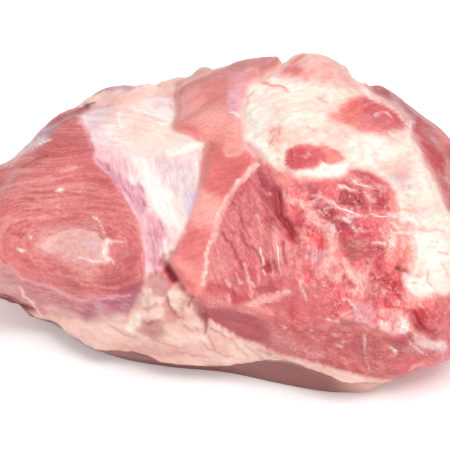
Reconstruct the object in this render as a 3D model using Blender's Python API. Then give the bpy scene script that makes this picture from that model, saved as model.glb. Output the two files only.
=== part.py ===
"""Boneless pork shoulder, raw, lying on its fat side.

The joint of meat is one solid. Its body is a loft along X through sections that
run from the ridge down the front, under the fat rim, across the resting face and
up the back. Muscles, the strap muscle, the fat cap, seams and the torn cut face
are then raised or sunk along the normals, by outlines drawn in millimetres on a
plane that faces an eye in front of the meat, 30 degrees up.
"""

import math

import bpy
import numpy as np

MM = 0.001

# Body, in millimetres. The shank end is at low X, the cut end at high X.
LENGTH = 315.0
SHANK_END = -157.0
CUT_END = SHANK_END + LENGTH
SHANK_ROUNDNESS = 2.6      # 2 closes the end like an ellipse, more like a box
CUT_ROUNDNESS = 3.2
MIDDLE_HEIGHT = 50.0       # the height that the ends close towards
SLAB_SLOPE = 4.0           # how far the slab's side leans in, down to the floor

STATIONS = np.array([-157, -130, -100, -65, -30, 5, 40, 70, 88, 100, 130, 158.0])
RIDGE_Y = np.array([30, 31, 35, 40, 42, 43, 42, 38, 34, 30, 22, 16.0])
RIDGE_HEIGHT = np.array([91, 90, 114, 120, 122, 127.5, 136.5, 139.5, 134, 130.5, 126, 122.0])
FRONT_REACH = np.array([114, 106, 88.5, 109, 118, 124, 139, 150, 151, 150, 151, 151.0])
FRONT_HEIGHT = np.array([50, 48, 44, 42, 46, 50, 58, 62, 61, 60, 56, 54.0])
RIM_INSET = np.array([10, 8, 6, 5, 5, 5, 8, 12, 14, 24, 24, 30.0])  # how far the meat tucks in underneath
BACK_REACH = np.array([64, 66, 68, 72, 74, 76, 78, 80, 83, 84, 84, 80.0])
BACK_HEIGHT = np.array([56, 55, 54, 54, 56, 58, 60, 62, 62, 62, 60, 58.0])
BASE_LIFT = np.array([12, 7, 2, 0, 0, 0, 0, 0, 0, 1, 2, 10.0])
FAT_SLAB = np.array([8, 8, 9, 12, 14, 16, 18, 15, 12, 5, 5, 5.0])  # thickness of the fat that it lies on

# Rows of the loft along each stretch of a section, and columns along X.
ROWS = dict(front=64, belly=16, slab=5, floor=10, back_belly=12, back=42)
COLUMNS = 150
TRIANGLES = 11400
ROUNDS = 3                 # how often the relief is found again on the raised surface

# The eye that the outlines are drawn from.
EYE_DISTANCE = 900.0
EYE_ELEVATION = math.radians(30)
EYE_TARGET = np.array([4.5, 0.0, 56.6])

# Outlines on the drawing plane, in millimetres right of and above its middle.
SHANK_MUSCLE = [(-162, 6), (-158, 24), (-141, 35), (-128, 40), (-115, 44), (-107, 49),
                (-104, 55), (-97, 61), (-87, 66), (-84, 60), (-81, 55), (-79, 48), (-78, 42),
                (-79, 39), (-73, 32), (-67, 27), (-61, 17), (-54, 5), (-51, -2), (-49, -14),
                (-48, -26), (-49, -36), (-55, -42), (-68, -43), (-77, -45), (-88, -45),
                (-98, -40), (-112, -35), (-122, -31), (-130, -25), (-150, -16), (-160, -8)]
STRAP_MUSCLE = [(-28, 82), (-12, 91), (3, 97), (12, 105), (20, 112), (28, 113), (34, 98),
                (22, 90), (13, 82), (10, 68), (11, 58), (11, 51), (15, 46), (19, 40), (17, 33),
                (6, 22), (-3, 6), (-7, -8), (-11, -20), (-12.5, -34), (-17, -42), (-23, -38),
                (-30, -28), (-34, -21), (-31, -18), (-26, -6), (-20, 8), (-15, 26), (-14, 38),
                (-11, 50), (-20, 53), (-31, 58), (-28, 68)]
STRAP_FLAP = [(-28, 82), (-12, 91), (3, 97), (12, 105), (20, 112), (28, 113), (34, 98),
              (22, 90), (13, 82), (10, 68), (11, 58), (10, 50), (-1, 49), (-11, 50), (-20, 53),
              (-31, 58), (-28, 68)]
SILVERSKIN = [(-87, 66), (-63, 72), (-28, 76), (-28, 66), (-31, 57), (-20, 52), (-13, 45),
              (-15, 30), (-18, 14), (-22, 0), (-28, -12), (-33, -22), (-38, -27), (-44, -27),
              (-48, -34), (-48, -22), (-49, -10), (-51, -1), (-54, 6), (-61, 18), (-67, 28),
              (-73, 33), (-79, 40), (-79, 48), (-82, 57), (-86, 62)]
RIDGE_FAT = [(-88, 71), (-84, 78), (-60, 88), (-40, 94), (-10, 102), (-4, 96), (-24, 84),
             (-30, 74), (-60, 72), (-78, 71)]
FAT_CAP = [(34, 97), (22, 90), (13, 82), (10, 68), (12, 58), (11, 51), (20, 44), (28, 35),
           (34, 33), (40, 30), (46, 28), (59, 28), (70, 29), (76, 34), (84, 33), (93, 29),
           (101, 23), (104, 14), (104, 4), (112, 0), (113, -8), (115, -18), (112, -28),
           (108, -34), (112, -42), (119, -44), (126, -41), (133, -42), (144, -30), (152, -10),
           (141, 4), (133, 10), (127, 25), (118, 41), (111, 56), (112, 61), (103, 71),
           (92, 77), (88, 80), (80, 94), (70, 118), (45, 122)]
CUT_HOLLOW = [(20, 32), (34, 24), (60, 24), (84, 26), (102, 14), (108, -8), (100, -30),
              (80, -38), (50, -32), (24, -30), (0, -36), (-6, -14), (6, 14)]
LOWER_FACE = [(-14, -46), (-6, -45), (6, -49), (14, -46), (26, -43), (36, -41), (48, -38),
              (58, -38), (66, -58), (74, -56), (84, -58), (96, -63), (108, -68), (120, -68),
              (128, -80), (100, -92), (59, -86), (19, -72), (-8, -60)]
RED_LUMP = [(113, -50), (119, -44), (126, -41), (132, -46), (133, -56), (129, -66), (121, -68),
            (115, -62)]
BOTTOM_LUMPS = [(-50, -38), (-45, -33), (-38, -33), (-33, -38), (-28, -33), (-23, -40),
                (-18, -42), (-15, -48), (-12, -56), (-11, -66), (-30, -72), (-60, -66),
                (-57, -56), (-54, -46)]
FAR_EDGE = [(70, 97), (80, 86), (88, 80), (97, 75), (103, 71), (111, 64), (111, 56), (118, 41),
            (127, 25), (133, 10), (143, -16)]
RIM_TOP = [(-150, -46), (-122, -52), (-110, -54), (-100, -54), (-84, -58), (-60, -60),
           (-45, -66), (-20, -62), (-10, -57), (0, -62), (10, -68), (20, -71), (32, -77),
           (45, -80), (59, -85), (85, -91), (110, -94), (150, -90)]
SEAMS = [  # points, width, depth
    ([(-36, -21), (-33, -28), (-27, -36)], 3.2, 6.0),                # beside the strap's tip
    ([(-18, -42), (-14, -50), (-11, -60)], 2.2, 4.0),                # between the bottom lumps
    ([(12, 82), (10, 68), (10, 52), (18, 42), (24, 35)], 2.0, 1.0),  # strap against fat cap
    ([(37, 104), (34, 98), (30, 94), (25, 90)], 2.6, 3.4),           # flap against fat cap
    ([(31, 21), (32, 12), (33, 5), (36, 1), (42, -8)], 3.0, 4.0),    # the groove in the cut face
    ([(25, -24), (30, -25)], 3.6, 3.5),                              # a pit in the cut face
    ([(112, -48), (114, -56), (119, -63)], 3.0, 4.0),                # beside the red lump
]
SWELLINGS = [  # centre, size, turn, rise
    ((-46, 86), (12, 9), 0, -6.0),
    ((54, 101), (16, 9), 0, 5.5),
    ((81, 90), (10, 8), 40, -9.0),
    ((98, 80), (12, 8), -30, 6.5),
]
# The back: X, and the distance over the ridge and down.
BACK_SEAMS = [
    ([(72, -8), (64, 30), (34, 78), (6, 130)], 7.0, 8.0),
    ([(-96, 6), (-74, 48), (-46, 92), (-40, 130)], 6.0, 6.0),
    ([(64, 30), (96, 72), (120, 118)], 5.0, 4.5),
]
BACK_FAT = [(-84, -6), (-60, 26), (-24, 34), (6, 22), (34, 44), (62, 34), (76, -6)]
BACK_RIM = 44.0            # how high the fat runs up the back, above the floor

SWELL = dict(cell=46.0, depth=2.4, seed=11)     # slow unevenness of the whole
KNOBS = dict(cell=15.0, depth=0.7, seed=12)     # finger-sized unevenness
LUMPS = dict(cell=9.0, depth=3.2, seed=13)      # soft fat by the strap's tip
TEARS = dict(cell=11.0, depth=2.6, seed=14)     # the torn middle of the cut face

COLOUR = (0.72, 0.29, 0.27, 1.0)
ROUGHNESS = 0.42


def along(values, x):
    """A smooth curve through the stations' values, by cubic Hermite pieces."""
    slope = np.gradient(values, STATIONS)
    step = np.diff(STATIONS)
    i = np.clip(np.searchsorted(STATIONS, x) - 1, 0, len(step) - 1)
    t = (x - STATIONS[i]) / step[i]
    return ((2 * t**3 - 3 * t**2 + 1) * values[i] + (t**3 - 2 * t**2 + t) * step[i] * slope[i]
            + (3 * t**2 - 2 * t**3) * values[i + 1] + (t**3 - t**2) * step[i] * slope[i + 1])


def smooth_step(distance, width):
    """0 to 1 as the distance goes from minus half the width to half the width."""
    t = np.clip(distance / width + 0.5, 0, 1)
    return t * t * (3 - 2 * t)


def slab_top(x):
    """Height of the top of the fat that the meat lies on."""
    return along(BASE_LIFT, x) + along(FAT_SLAB, x)


def body(x):
    """The closed sections at each x, as an array of rows, columns and XYZ."""
    t = np.clip((x - (SHANK_END + CUT_END) / 2) / (LENGTH / 2), -1, 1)
    roundness = np.where(t < 0, SHANK_ROUNDNESS, CUT_ROUNDNESS)
    size = (1 - np.abs(t) ** roundness) ** (1 / roundness)

    def height(z):
        return MIDDLE_HEIGHT + (z - MIDDLE_HEIGHT) * size

    ridge_y, ridge_z = along(RIDGE_Y, x), height(along(RIDGE_HEIGHT, x))
    front_y, front_z = ridge_y - along(FRONT_REACH, x) * size, height(along(FRONT_HEIGHT, x))
    back_y, back_z = ridge_y + along(BACK_REACH, x) * size, height(along(BACK_HEIGHT, x))
    floor_z, slab_z = height(along(BASE_LIFT, x)), height(slab_top(x))
    inset = along(RIM_INSET, x) * size
    rim_y, back_rim_y = front_y + inset, back_y - 1.2 * inset
    lean = SLAB_SLOPE * size

    def stretch(name, y, z):
        rows = np.linspace(0, 1, ROWS[name], endpoint=False)[:, None]
        return np.stack([y(rows), z(rows)], -1)

    quarter = math.pi / 2
    stretches = [
        stretch("front", lambda s: ridge_y + (front_y - ridge_y) * np.sin(s * quarter),
                lambda s: front_z + (ridge_z - front_z) * np.cos(s * quarter)),
        stretch("belly", lambda s: front_y + inset * (1 - np.cos(s * quarter)),
                lambda s: front_z + (slab_z - front_z) * np.sin(s * quarter)),
        stretch("slab", lambda s: rim_y + lean * s, lambda s: slab_z + (floor_z - slab_z) * s),
        stretch("floor", lambda s: rim_y + lean + (back_rim_y - rim_y - 2 * lean) * s,
                lambda s: floor_z + 0 * s),
        stretch("slab", lambda s: back_rim_y - lean * (1 - s),
                lambda s: floor_z + (slab_z - floor_z) * s),
        stretch("back_belly", lambda s: back_rim_y + (back_y - back_rim_y) * np.sin(s * quarter),
                lambda s: slab_z + (back_z - slab_z) * (1 - np.cos(s * quarter))),
        stretch("back", lambda s: ridge_y + (back_y - ridge_y) * np.cos(s * quarter),
                lambda s: back_z + (ridge_z - back_z) * np.sin(s * quarter)),
    ]
    yz = np.concatenate(stretches)
    return np.concatenate([np.broadcast_to(x[:, None], yz.shape[:2] + (1,)), yz], -1)


def outward(points):
    """Unit normals of the loft's grid."""
    around = np.roll(points, -1, 0) - np.roll(points, 1, 0)
    lengthwise = np.gradient(points, axis=1)
    normal = np.cross(around, lengthwise)
    return normal / np.maximum(np.linalg.norm(normal, axis=-1, keepdims=True), 1e-9)


def on_plane(points):
    """Where the line from each point to the eye crosses the drawing plane."""
    forward = np.array([0, math.cos(EYE_ELEVATION), -math.sin(EYE_ELEVATION)])
    upward = np.array([0, math.sin(EYE_ELEVATION), math.cos(EYE_ELEVATION)])
    ray = points - (EYE_TARGET - forward * EYE_DISTANCE)
    depth = ray @ forward
    return EYE_DISTANCE * ray[..., 0] / depth, EYE_DISTANCE * (ray @ upward) / depth


def drawing_plane(points, smooth):
    """Each point's place on the plane, and how far past the skyline it is.

    A point past the skyline of the smooth body goes on upwards on the plane, by
    its distance along its section.
    """
    u, v = on_plane(points)
    # Walk each section backwards from under the front: front, ridge, back, back belly.
    start = ROWS["front"] + ROWS["belly"] + ROWS["slab"] + ROWS["floor"] // 2
    order = np.roll(np.arange(len(points)), -start)[::-1]
    walk = points[order]
    run = np.concatenate([np.zeros((1, points.shape[1])),
                          np.cumsum(np.linalg.norm(np.diff(walk, axis=0), axis=-1), 0)])
    skyline = np.argmax(on_plane(smooth)[1][order], 0)
    columns = np.arange(points.shape[1])
    over = np.empty_like(run)
    over[order] = run - run[skyline, columns]
    in_sight = over <= 0
    u = np.where(in_sight, u, u[order][skyline, columns])
    v = np.where(in_sight, v, v[order][skyline, columns] + over)
    return u, v, over


def round_off(outline, closed=True, pieces=5):
    """More points along a smooth curve through the outline's own (Catmull-Rom)."""
    p = np.array(outline, float)
    if not closed:
        p = np.concatenate([[2 * p[0] - p[1]], p, [2 * p[-1] - p[-2]]])
    before, here, after, beyond = (np.roll(p, k, 0)[:, None] for k in (1, 0, -1, -2))
    t = np.linspace(0, 1, pieces, endpoint=False)[None, :, None]
    curve = 0.5 * (2 * here + (after - before) * t
                   + (2 * before - 5 * here + 4 * after - beyond) * t**2
                   + (3 * here - before - 3 * after + beyond) * t**3)
    if not closed:
        curve = curve[1:-2]
    curve = curve.reshape(-1, 2)
    return curve if closed else np.concatenate([curve, p[-2:-1]])


def distance_to(line, u, v, closed):
    """Distance to a line of points; for a closed one, positive inside."""
    start = line if closed else line[:-1]
    end = np.roll(line, -1, 0) if closed else line[1:]
    nearest = np.full(u.shape, np.inf)
    inside = np.zeros(u.shape, bool)
    for (u0, v0), (u1, v1) in zip(start, end):
        du, dv = u1 - u0, v1 - v0
        t = np.clip(((u - u0) * du + (v - v0) * dv) / (du * du + dv * dv + 1e-12), 0, 1)
        nearest = np.minimum(nearest, np.hypot(u - u0 - t * du, v - v0 - t * dv))
        if closed:
            crosses = (v0 > v) != (v1 > v)
            rise = np.where(dv == 0, 1e-9, dv)
            inside ^= crosses & (u < u0 + (v - v0) * du / rise)
    return np.where(inside, nearest, -nearest) if closed else nearest


def region(outline, u, v):
    return distance_to(round_off(outline), u, v, closed=True)


def groove(points, width, depth, u, v):
    """A valley with a round bottom along a line."""
    away = distance_to(round_off(points, closed=False), u, v, closed=False)
    return -depth * np.exp(-(away / width) ** 2)


def swelling(centre, size, turn, rise, u, v):
    """A soft rise or hollow with an oval outline."""
    du, dv = u - centre[0], v - centre[1]
    c, s = math.cos(math.radians(turn)), math.sin(math.radians(turn))
    return rise * np.exp(-((du * c + dv * s) / size[0]) ** 2 - ((dv * c - du * s) / size[1]) ** 2)


def dome(distance, reach):
    """Rises from the outline inwards, and is flat further in than about reach."""
    return 1 - np.exp(-(np.maximum(distance, 0) / reach) ** 1.5)


def unevenness(points, cell, depth, seed):
    """Smooth random bumps about as wide as the cell: a sum of plane waves."""
    draw = np.random.default_rng(seed)
    total = np.zeros(points.shape[:-1])
    waves = 28
    for _ in range(waves):
        direction = draw.normal(size=3)
        direction *= 2 * math.pi / (cell * draw.uniform(1.2, 2.8)) / np.linalg.norm(direction)
        total += np.sin(points @ direction + draw.uniform(0, 2 * math.pi))
    return depth * total / math.sqrt(waves / 2)


def relief(points, shown):
    """How far each point of the smooth body is raised, in millimetres.

    The outlines are laid on the surface that shows, and the uneven bumps on the
    smooth body.
    """
    u, v, over = drawing_plane(shown, points)
    x = points[..., 0]
    front = smooth_step(8 - over, 30)
    height = unevenness(points, **SWELL) + unevenness(points, **KNOBS)

    shank = region(SHANK_MUSCLE, u, v)
    height += 1.2 * smooth_step(shank, 4) + 4.0 * dome(shank, 18)
    strap = region(STRAP_MUSCLE, u, v)
    height += 3.0 * smooth_step(strap, 3) + 2.0 * dome(strap, 8)
    height += 1.2 * smooth_step(region(STRAP_FLAP, u, v), 2.5)
    height += -2.5 * dome(region(SILVERSKIN, u, v), 14)
    height += dome(region(RIDGE_FAT, u, v), 5) * (2.0 + 0.6 * unevenness(points, **LUMPS))
    cap = region(FAT_CAP, u, v)
    height += 1.8 * smooth_step(cap, 3.6) + 1.4 * dome(cap, 12)
    hollow = region(CUT_HOLLOW, u, v)
    height += dome(hollow, 20) * (-3.5 + unevenness(points, **TEARS))
    height += -2.0 * dome(region(LOWER_FACE, u, v), 10)
    height += 5.0 * dome(region(RED_LUMP, u, v), 6)
    lumps = region(BOTTOM_LUMPS, u, v)
    height += dome(lumps, 6) * (1.5 + unevenness(points, **LUMPS))
    for line, width, depth in SEAMS:
        height += groove(line, width, depth, u, v) * front
    for centre, size, turn, rise in SWELLINGS:
        height += swelling(centre, size, turn, rise, u, v)

    # The muscle behind the fat cap lies lower.
    edge = np.array(FAR_EDGE, float)
    beyond = u - np.interp(v, edge[::-1, 1], edge[::-1, 0])
    far = smooth_step(beyond - 2, 5) * smooth_step(v + 20, 30) * smooth_step(u - 68, 20)
    height -= 5.0 * far * smooth_step(60 - over, 60)

    # The fat rim along the bottom.
    rim_top = np.array(RIM_TOP, float)
    below_rim = np.interp(u, rim_top[:, 0], rim_top[:, 1]) - v
    height += 2.5 * smooth_step(below_rim, 3) * front

    for line, width, depth in BACK_SEAMS:
        height += groove(line, width, depth, x, over) * smooth_step(over, 30)
    fat = region(BACK_FAT, x, over)
    height += 2.5 * smooth_step(fat, 4) * smooth_step(over - 8, 20)
    up_back = BACK_RIM - points[..., 2] + unevenness(points, cell=30, depth=5, seed=15)
    return height + 3.0 * smooth_step(up_back, 5) * smooth_step(over - 20, 30)


def raised(points, height):
    """The smooth body raised along its normals.

    Nothing moves on the resting face, and less on the slab and at the two ends.
    """
    x, z = points[..., 0], points[..., 2]
    top = slab_top(x)
    height = height * smooth_step(z - top * 0.55, top * 0.9)
    to_end = np.minimum(x - SHANK_END, CUT_END - x)
    height = height * smooth_step(to_end - 3, 12)
    shown = points + outward(points) * height[..., None]
    shown[..., 2] = np.maximum(shown[..., 2], 0)
    return shown


def surface():
    """The finished surface's grid of points, in millimetres."""
    turn = np.linspace(0, math.pi, COLUMNS)
    x = (SHANK_END + CUT_END) / 2 - LENGTH / 2 * np.cos(turn)
    points = body(x)
    height = relief(points, points)
    for _ in range(ROUNDS):
        # Raising the surface moves what lies where on it, so the relief is found again.
        height = (height + relief(points, raised(points, height))) / 2
    return raised(points, height)


def centred(points):
    """The points moved so that their box stands on the origin, by its middle."""
    low, high = points.min((0, 1)), points.max((0, 1))
    return points - [(low[0] + high[0]) / 2, (low[1] + high[1]) / 2, 0]


def loft_mesh(name, points):
    """A closed mesh: quads between the columns, and a fan of triangles at each end."""
    rows, columns = points.shape[:2]
    ring = points[:, 1:-1]
    inner = columns - 2
    tips = [points[:, 0].mean(0), points[:, -1].mean(0)]
    index = np.arange(rows * inner).reshape(rows, inner)
    following = np.roll(index, -1, 0)
    quads = np.stack([index[:, :-1], following[:, :-1], following[:, 1:], index[:, 1:]], -1)
    first, last = rows * inner, rows * inner + 1
    start_fan = np.stack([np.full(rows, first), following[:, 0], index[:, 0]], -1)
    end_fan = np.stack([np.full(rows, last), index[:, -1], following[:, -1]], -1)
    mesh = bpy.data.meshes.new(name)
    mesh.from_pydata(np.concatenate([ring.reshape(-1, 3), tips]).tolist(), [],
                     quads.reshape(-1, 4).tolist() + start_fan.tolist() + end_fan.tolist())
    mesh.validate()
    mesh.shade_smooth()
    return mesh


def raw_meat():
    material = bpy.data.materials.new("raw_meat")
    material.use_nodes = True
    shader = material.node_tree.nodes["Principled BSDF"]
    shader.inputs["Base Color"].default_value = COLOUR
    shader.inputs["Roughness"].default_value = ROUGHNESS
    shader.inputs["Metallic"].default_value = 0.0
    return material


def build():
    for old in list(bpy.data.objects):
        bpy.data.objects.remove(old, do_unlink=True)
    collection = bpy.data.collections.new("shoulder_ham_parts")
    bpy.context.scene.collection.children.link(collection)

    mesh = loft_mesh("shoulder_ham", centred(surface()) * MM)
    mesh.materials.append(raw_meat())
    ham = bpy.data.objects.new("shoulder_ham", mesh)
    collection.objects.link(ham)

    fewer = ham.modifiers.new("fewer_faces", "DECIMATE")
    fewer.ratio = TRIANGLES / sum(len(face.vertices) - 2 for face in mesh.polygons)
    fewer.use_collapse_triangulate = True


build()
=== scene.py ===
# Raw boneless pork shoulder, lying on its fat side on a pale floor.
import math

import bpy
import numpy as np
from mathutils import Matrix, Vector


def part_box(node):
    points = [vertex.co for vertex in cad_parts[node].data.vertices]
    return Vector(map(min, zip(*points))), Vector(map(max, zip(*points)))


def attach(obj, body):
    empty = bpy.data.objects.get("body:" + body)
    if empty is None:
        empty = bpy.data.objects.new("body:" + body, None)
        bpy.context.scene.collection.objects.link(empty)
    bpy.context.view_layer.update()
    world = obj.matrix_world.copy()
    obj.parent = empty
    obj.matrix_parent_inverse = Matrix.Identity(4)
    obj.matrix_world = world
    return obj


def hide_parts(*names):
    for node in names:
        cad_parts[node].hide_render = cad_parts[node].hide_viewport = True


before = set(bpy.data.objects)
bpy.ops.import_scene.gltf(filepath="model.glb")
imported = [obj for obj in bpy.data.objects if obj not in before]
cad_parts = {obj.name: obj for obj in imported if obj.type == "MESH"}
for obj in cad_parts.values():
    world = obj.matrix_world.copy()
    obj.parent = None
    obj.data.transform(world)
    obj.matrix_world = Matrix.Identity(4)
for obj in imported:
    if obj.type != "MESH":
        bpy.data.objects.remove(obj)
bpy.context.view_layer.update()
cadLow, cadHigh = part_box("shoulder_ham")
mm = 0.001
print("frame loaded")

# The eye that every outline is drawn from, in millimetres.
eye = dict(
    distance=900.0,
    elevation=math.radians(30),
    target=(4.5, 0.0, 56.6),
    lens=120.0,
)

# The whole joint of meat, in millimetres. The shank end is at low X, the cut end at high X.
ham = dict(
    length=315.0,
    shankEnd=-157.0,
    shankRoundness=2.6,   # 2 closes the end like an ellipse, more like a box
    cutRoundness=3.2,
    middleHeight=50.0,    # the height that both ends close towards
    slabSlope=4.0,
    station=[-157, -130, -100, -65, -30, 5, 40, 70, 88, 100, 130, 158],
    ridgeY=[30, 31, 35, 40, 42, 43, 42, 38, 34, 30, 22, 16],
    ridgeHeight=[91, 90, 114, 120, 122, 127.5, 136.5, 139.5, 134, 130.5, 126, 122],
    frontReach=[114, 106, 88.5, 109, 118, 124, 139, 150, 151, 150, 151, 151],
    frontHeight=[50, 48, 44, 42, 46, 50, 58, 62, 61, 60, 56, 54],
    rimInset=[10, 8, 6, 5, 5, 5, 8, 12, 14, 24, 24, 30],
    backReach=[64, 66, 68, 72, 74, 76, 78, 80, 83, 84, 84, 80],
    backHeight=[56, 55, 54, 54, 56, 58, 60, 62, 62, 62, 60, 58],
    baseLift=[12, 7, 2, 0, 0, 0, 0, 0, 0, 1, 2, 10],
    fatSlab=[8, 8, 9, 12, 14, 16, 18, 15, 12, 5, 5, 5],  # the layer of fat underneath
    rows=dict(front=176, belly=46, slab=8, floor=12, backBelly=22, back=54),
    evenColumns=270,
    endColumns=15,        # closer columns at each end
    evenShare=0.93,       # the share of the length with evenly spaced columns
    slabStill=0.55,       # the share of the slab's height that no relief moves
    slabFade=0.9,
    endStill=3.0,         # the length at each end that no relief moves
    endFade=12.0,
)
ham["cutEnd"] = ham["shankEnd"] + ham["length"]
station = np.array(ham["station"], float)


def smoothStep(distance, width):
    # 0 to 1 as the distance goes from minus half the width to half the width
    t = np.clip(distance / width + 0.5, 0, 1)
    return t * t * (3 - 2 * t)


def along(name, x):
    # a smooth curve through the stations' values, by cubic Hermite pieces
    values = np.array(ham[name], float)
    slope = np.gradient(values, station)
    step = np.diff(station)
    i = np.clip(np.searchsorted(station, x) - 1, 0, len(step) - 1)
    t = (x - station[i]) / step[i]
    return ((2 * t**3 - 3 * t**2 + 1) * values[i] + (t**3 - 2 * t**2 + t) * step[i] * slope[i]
            + (3 * t**2 - 2 * t**3) * values[i + 1] + (t**3 - t**2) * step[i] * slope[i + 1])


def columnPlaces():
    # even steps along the middle, and steps that close up like a sine at the two ends
    half, share = ham["length"] / 2, ham["evenShare"]
    middle = np.linspace(-share, share, ham["evenColumns"])
    end = share + (1 - share) * np.sin(np.linspace(0, math.pi / 2, ham["endColumns"] + 1)[1:])
    return ham["shankEnd"] + half + half * np.concatenate([-end[::-1], middle, end])


def bodySections(x):
    # closed sections: quarter ellipses from the ridge to the front and to the rim, a leaning slab,
    # the flat floor, and the same again up the back; the ends close by a superellipse
    half = ham["length"] / 2
    t = np.clip((x - ham["shankEnd"] - half) / half, -1, 1)
    roundness = np.where(t < 0, ham["shankRoundness"], ham["cutRoundness"])
    size = (1 - np.abs(t) ** roundness) ** (1 / roundness)

    def height(z):
        return ham["middleHeight"] + (z - ham["middleHeight"]) * size

    ridgeY, ridgeZ = along("ridgeY", x), height(along("ridgeHeight", x))
    frontY, frontZ = ridgeY - along("frontReach", x) * size, height(along("frontHeight", x))
    backY, backZ = ridgeY + along("backReach", x) * size, height(along("backHeight", x))
    floorZ, slabZ = height(along("baseLift", x)), height(along("baseLift", x) + along("fatSlab", x))
    inset = along("rimInset", x) * size
    rimY, backRimY = frontY + inset, backY - 1.2 * inset
    lean = ham["slabSlope"] * size

    def stretch(name, y, z):
        rows = np.linspace(0, 1, ham["rows"][name], endpoint=False)[:, None]
        return np.stack([y(rows), z(rows)], -1)

    q = math.pi / 2
    yz = np.concatenate([
        stretch("front", lambda s: ridgeY + (frontY - ridgeY) * np.sin(s * q),
                lambda s: frontZ + (ridgeZ - frontZ) * np.cos(s * q)),
        stretch("belly", lambda s: frontY + inset * (1 - np.cos(s * q)),
                lambda s: frontZ + (slabZ - frontZ) * np.sin(s * q)),
        stretch("slab", lambda s: rimY + lean * s, lambda s: slabZ + (floorZ - slabZ) * s),
        stretch("floor", lambda s: rimY + lean + (backRimY - rimY - 2 * lean) * s,
                lambda s: floorZ + 0 * s),
        stretch("slab", lambda s: backRimY - lean * (1 - s),
                lambda s: floorZ + (slabZ - floorZ) * s),
        stretch("backBelly", lambda s: backRimY + (backY - backRimY) * np.sin(s * q),
                lambda s: slabZ + (backZ - slabZ) * (1 - np.cos(s * q))),
        stretch("back", lambda s: ridgeY + (backY - ridgeY) * np.cos(s * q),
                lambda s: backZ + (ridgeZ - backZ) * np.sin(s * q)),
    ])
    return np.concatenate([np.broadcast_to(x[:, None], yz.shape[:2] + (1,)), yz], -1)


def outward(points):
    # unit normals of a grid that is closed along its rows: the cross product of its two directions
    around = np.roll(points, -1, 0) - np.roll(points, 1, 0)
    lengthwise = np.gradient(points, axis=1)
    normal = np.cross(around, lengthwise)
    return normal / np.maximum(np.linalg.norm(normal, axis=-1, keepdims=True), 1e-9)


def onPlane(points):
    # where the line from the eye through each point crosses the plane through the target
    forward = np.array([0, math.cos(eye["elevation"]), -math.sin(eye["elevation"])])
    upward = np.array([0, math.sin(eye["elevation"]), math.cos(eye["elevation"])])
    ray = points - (np.array(eye["target"]) - forward * eye["distance"])
    depth = ray @ forward
    return eye["distance"] * ray[..., 0] / depth, eye["distance"] * (ray @ upward) / depth


def drawingPlane(points, smooth):
    # the places of points on the drawing plane; past the skyline of the smooth body they go on
    # upwards by the distance along the section, which is also returned
    u, v = onPlane(points)
    rows = ham["rows"]
    start = rows["front"] + rows["belly"] + rows["slab"] + rows["floor"] // 2
    order = np.roll(np.arange(len(points)), -start)[::-1]
    walk = points[order]
    run = np.concatenate([np.zeros((1, points.shape[1])),
                          np.cumsum(np.linalg.norm(np.diff(walk, axis=0), axis=-1), 0)])
    skyline = np.argmax(onPlane(smooth)[1][order], 0)
    columns = np.arange(points.shape[1])
    over = np.empty_like(run)
    over[order] = run - run[skyline, columns]
    inSight = over <= 0
    u = np.where(inSight, u, u[order][skyline, columns])
    v = np.where(inSight, v, v[order][skyline, columns] + over)
    return u, v, over


def roundOff(outline, closed=True, pieces=5):
    # more points along a Catmull-Rom curve through the outline's own
    p = np.array(outline, float)
    if not closed:
        p = np.concatenate([[2 * p[0] - p[1]], p, [2 * p[-1] - p[-2]]])
    before, here, after, beyond = (np.roll(p, k, 0)[:, None] for k in (1, 0, -1, -2))
    t = np.linspace(0, 1, pieces, endpoint=False)[None, :, None]
    curve = 0.5 * (2 * here + (after - before) * t
                   + (2 * before - 5 * here + 4 * after - beyond) * t**2
                   + (3 * here - before - 3 * after + beyond) * t**3)
    if closed:
        return curve.reshape(-1, 2)
    return np.concatenate([curve[1:-2].reshape(-1, 2), p[-2:-1]])


def distanceTo(line, u, v, closed, reach=40.0):
    # distance to the nearest piece of the line, positive inside a closed one; minus the reach, or
    # the reach on an open one, where the point is too far to matter
    low, high = line.min(0) - reach, line.max(0) + reach
    near = (u > low[0]) & (u < high[0]) & (v > low[1]) & (v < high[1])
    a, b = u[near], v[near]
    start = line if closed else line[:-1]
    end = np.roll(line, -1, 0) if closed else line[1:]
    nearest = np.full(a.shape, reach)
    inside = np.zeros(a.shape, bool)
    for (u0, v0), (u1, v1) in zip(start, end):
        du, dv = u1 - u0, v1 - v0
        t = np.clip(((a - u0) * du + (b - v0) * dv) / (du * du + dv * dv + 1e-12), 0, 1)
        nearest = np.minimum(nearest, np.hypot(a - u0 - t * du, b - v0 - t * dv))
        if closed:
            crosses = (v0 > b) != (v1 > b)
            inside ^= crosses & (a < u0 + (b - v0) * du / (dv if dv else 1e-9))
    full = np.full(u.shape, -reach if closed else reach)
    full[near] = np.where(inside, nearest, -nearest) if closed else nearest
    return full


def region(outline, u, v, reach=40.0):
    return distanceTo(roundOff(outline), u, v, True, reach)


def line(points, u, v, reach=40.0):
    return distanceTo(roundOff(points, closed=False), u, v, False, reach)


def groove(points, width, depth, u, v):
    # a valley with a round bottom: a bell curve of the distance to the line
    return -depth * np.exp(-(line(points, u, v, 4 * width) / width) ** 2)


def spot(centre, size, turn, u, v):
    # 1 in the middle of an ellipse to 0 well outside it, by a bell curve
    du, dv = u - centre[0], v - centre[1]
    c, s = math.cos(math.radians(turn)), math.sin(math.radians(turn))
    return np.exp(-((du * c + dv * s) / size[0]) ** 2 - ((dv * c - du * s) / size[1]) ** 2)


def dome(distance, reach):
    # rises from the outline inwards, and is flat further in than about the reach
    return 1 - np.exp(-(np.maximum(distance, 0) / reach) ** 1.5)


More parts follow.
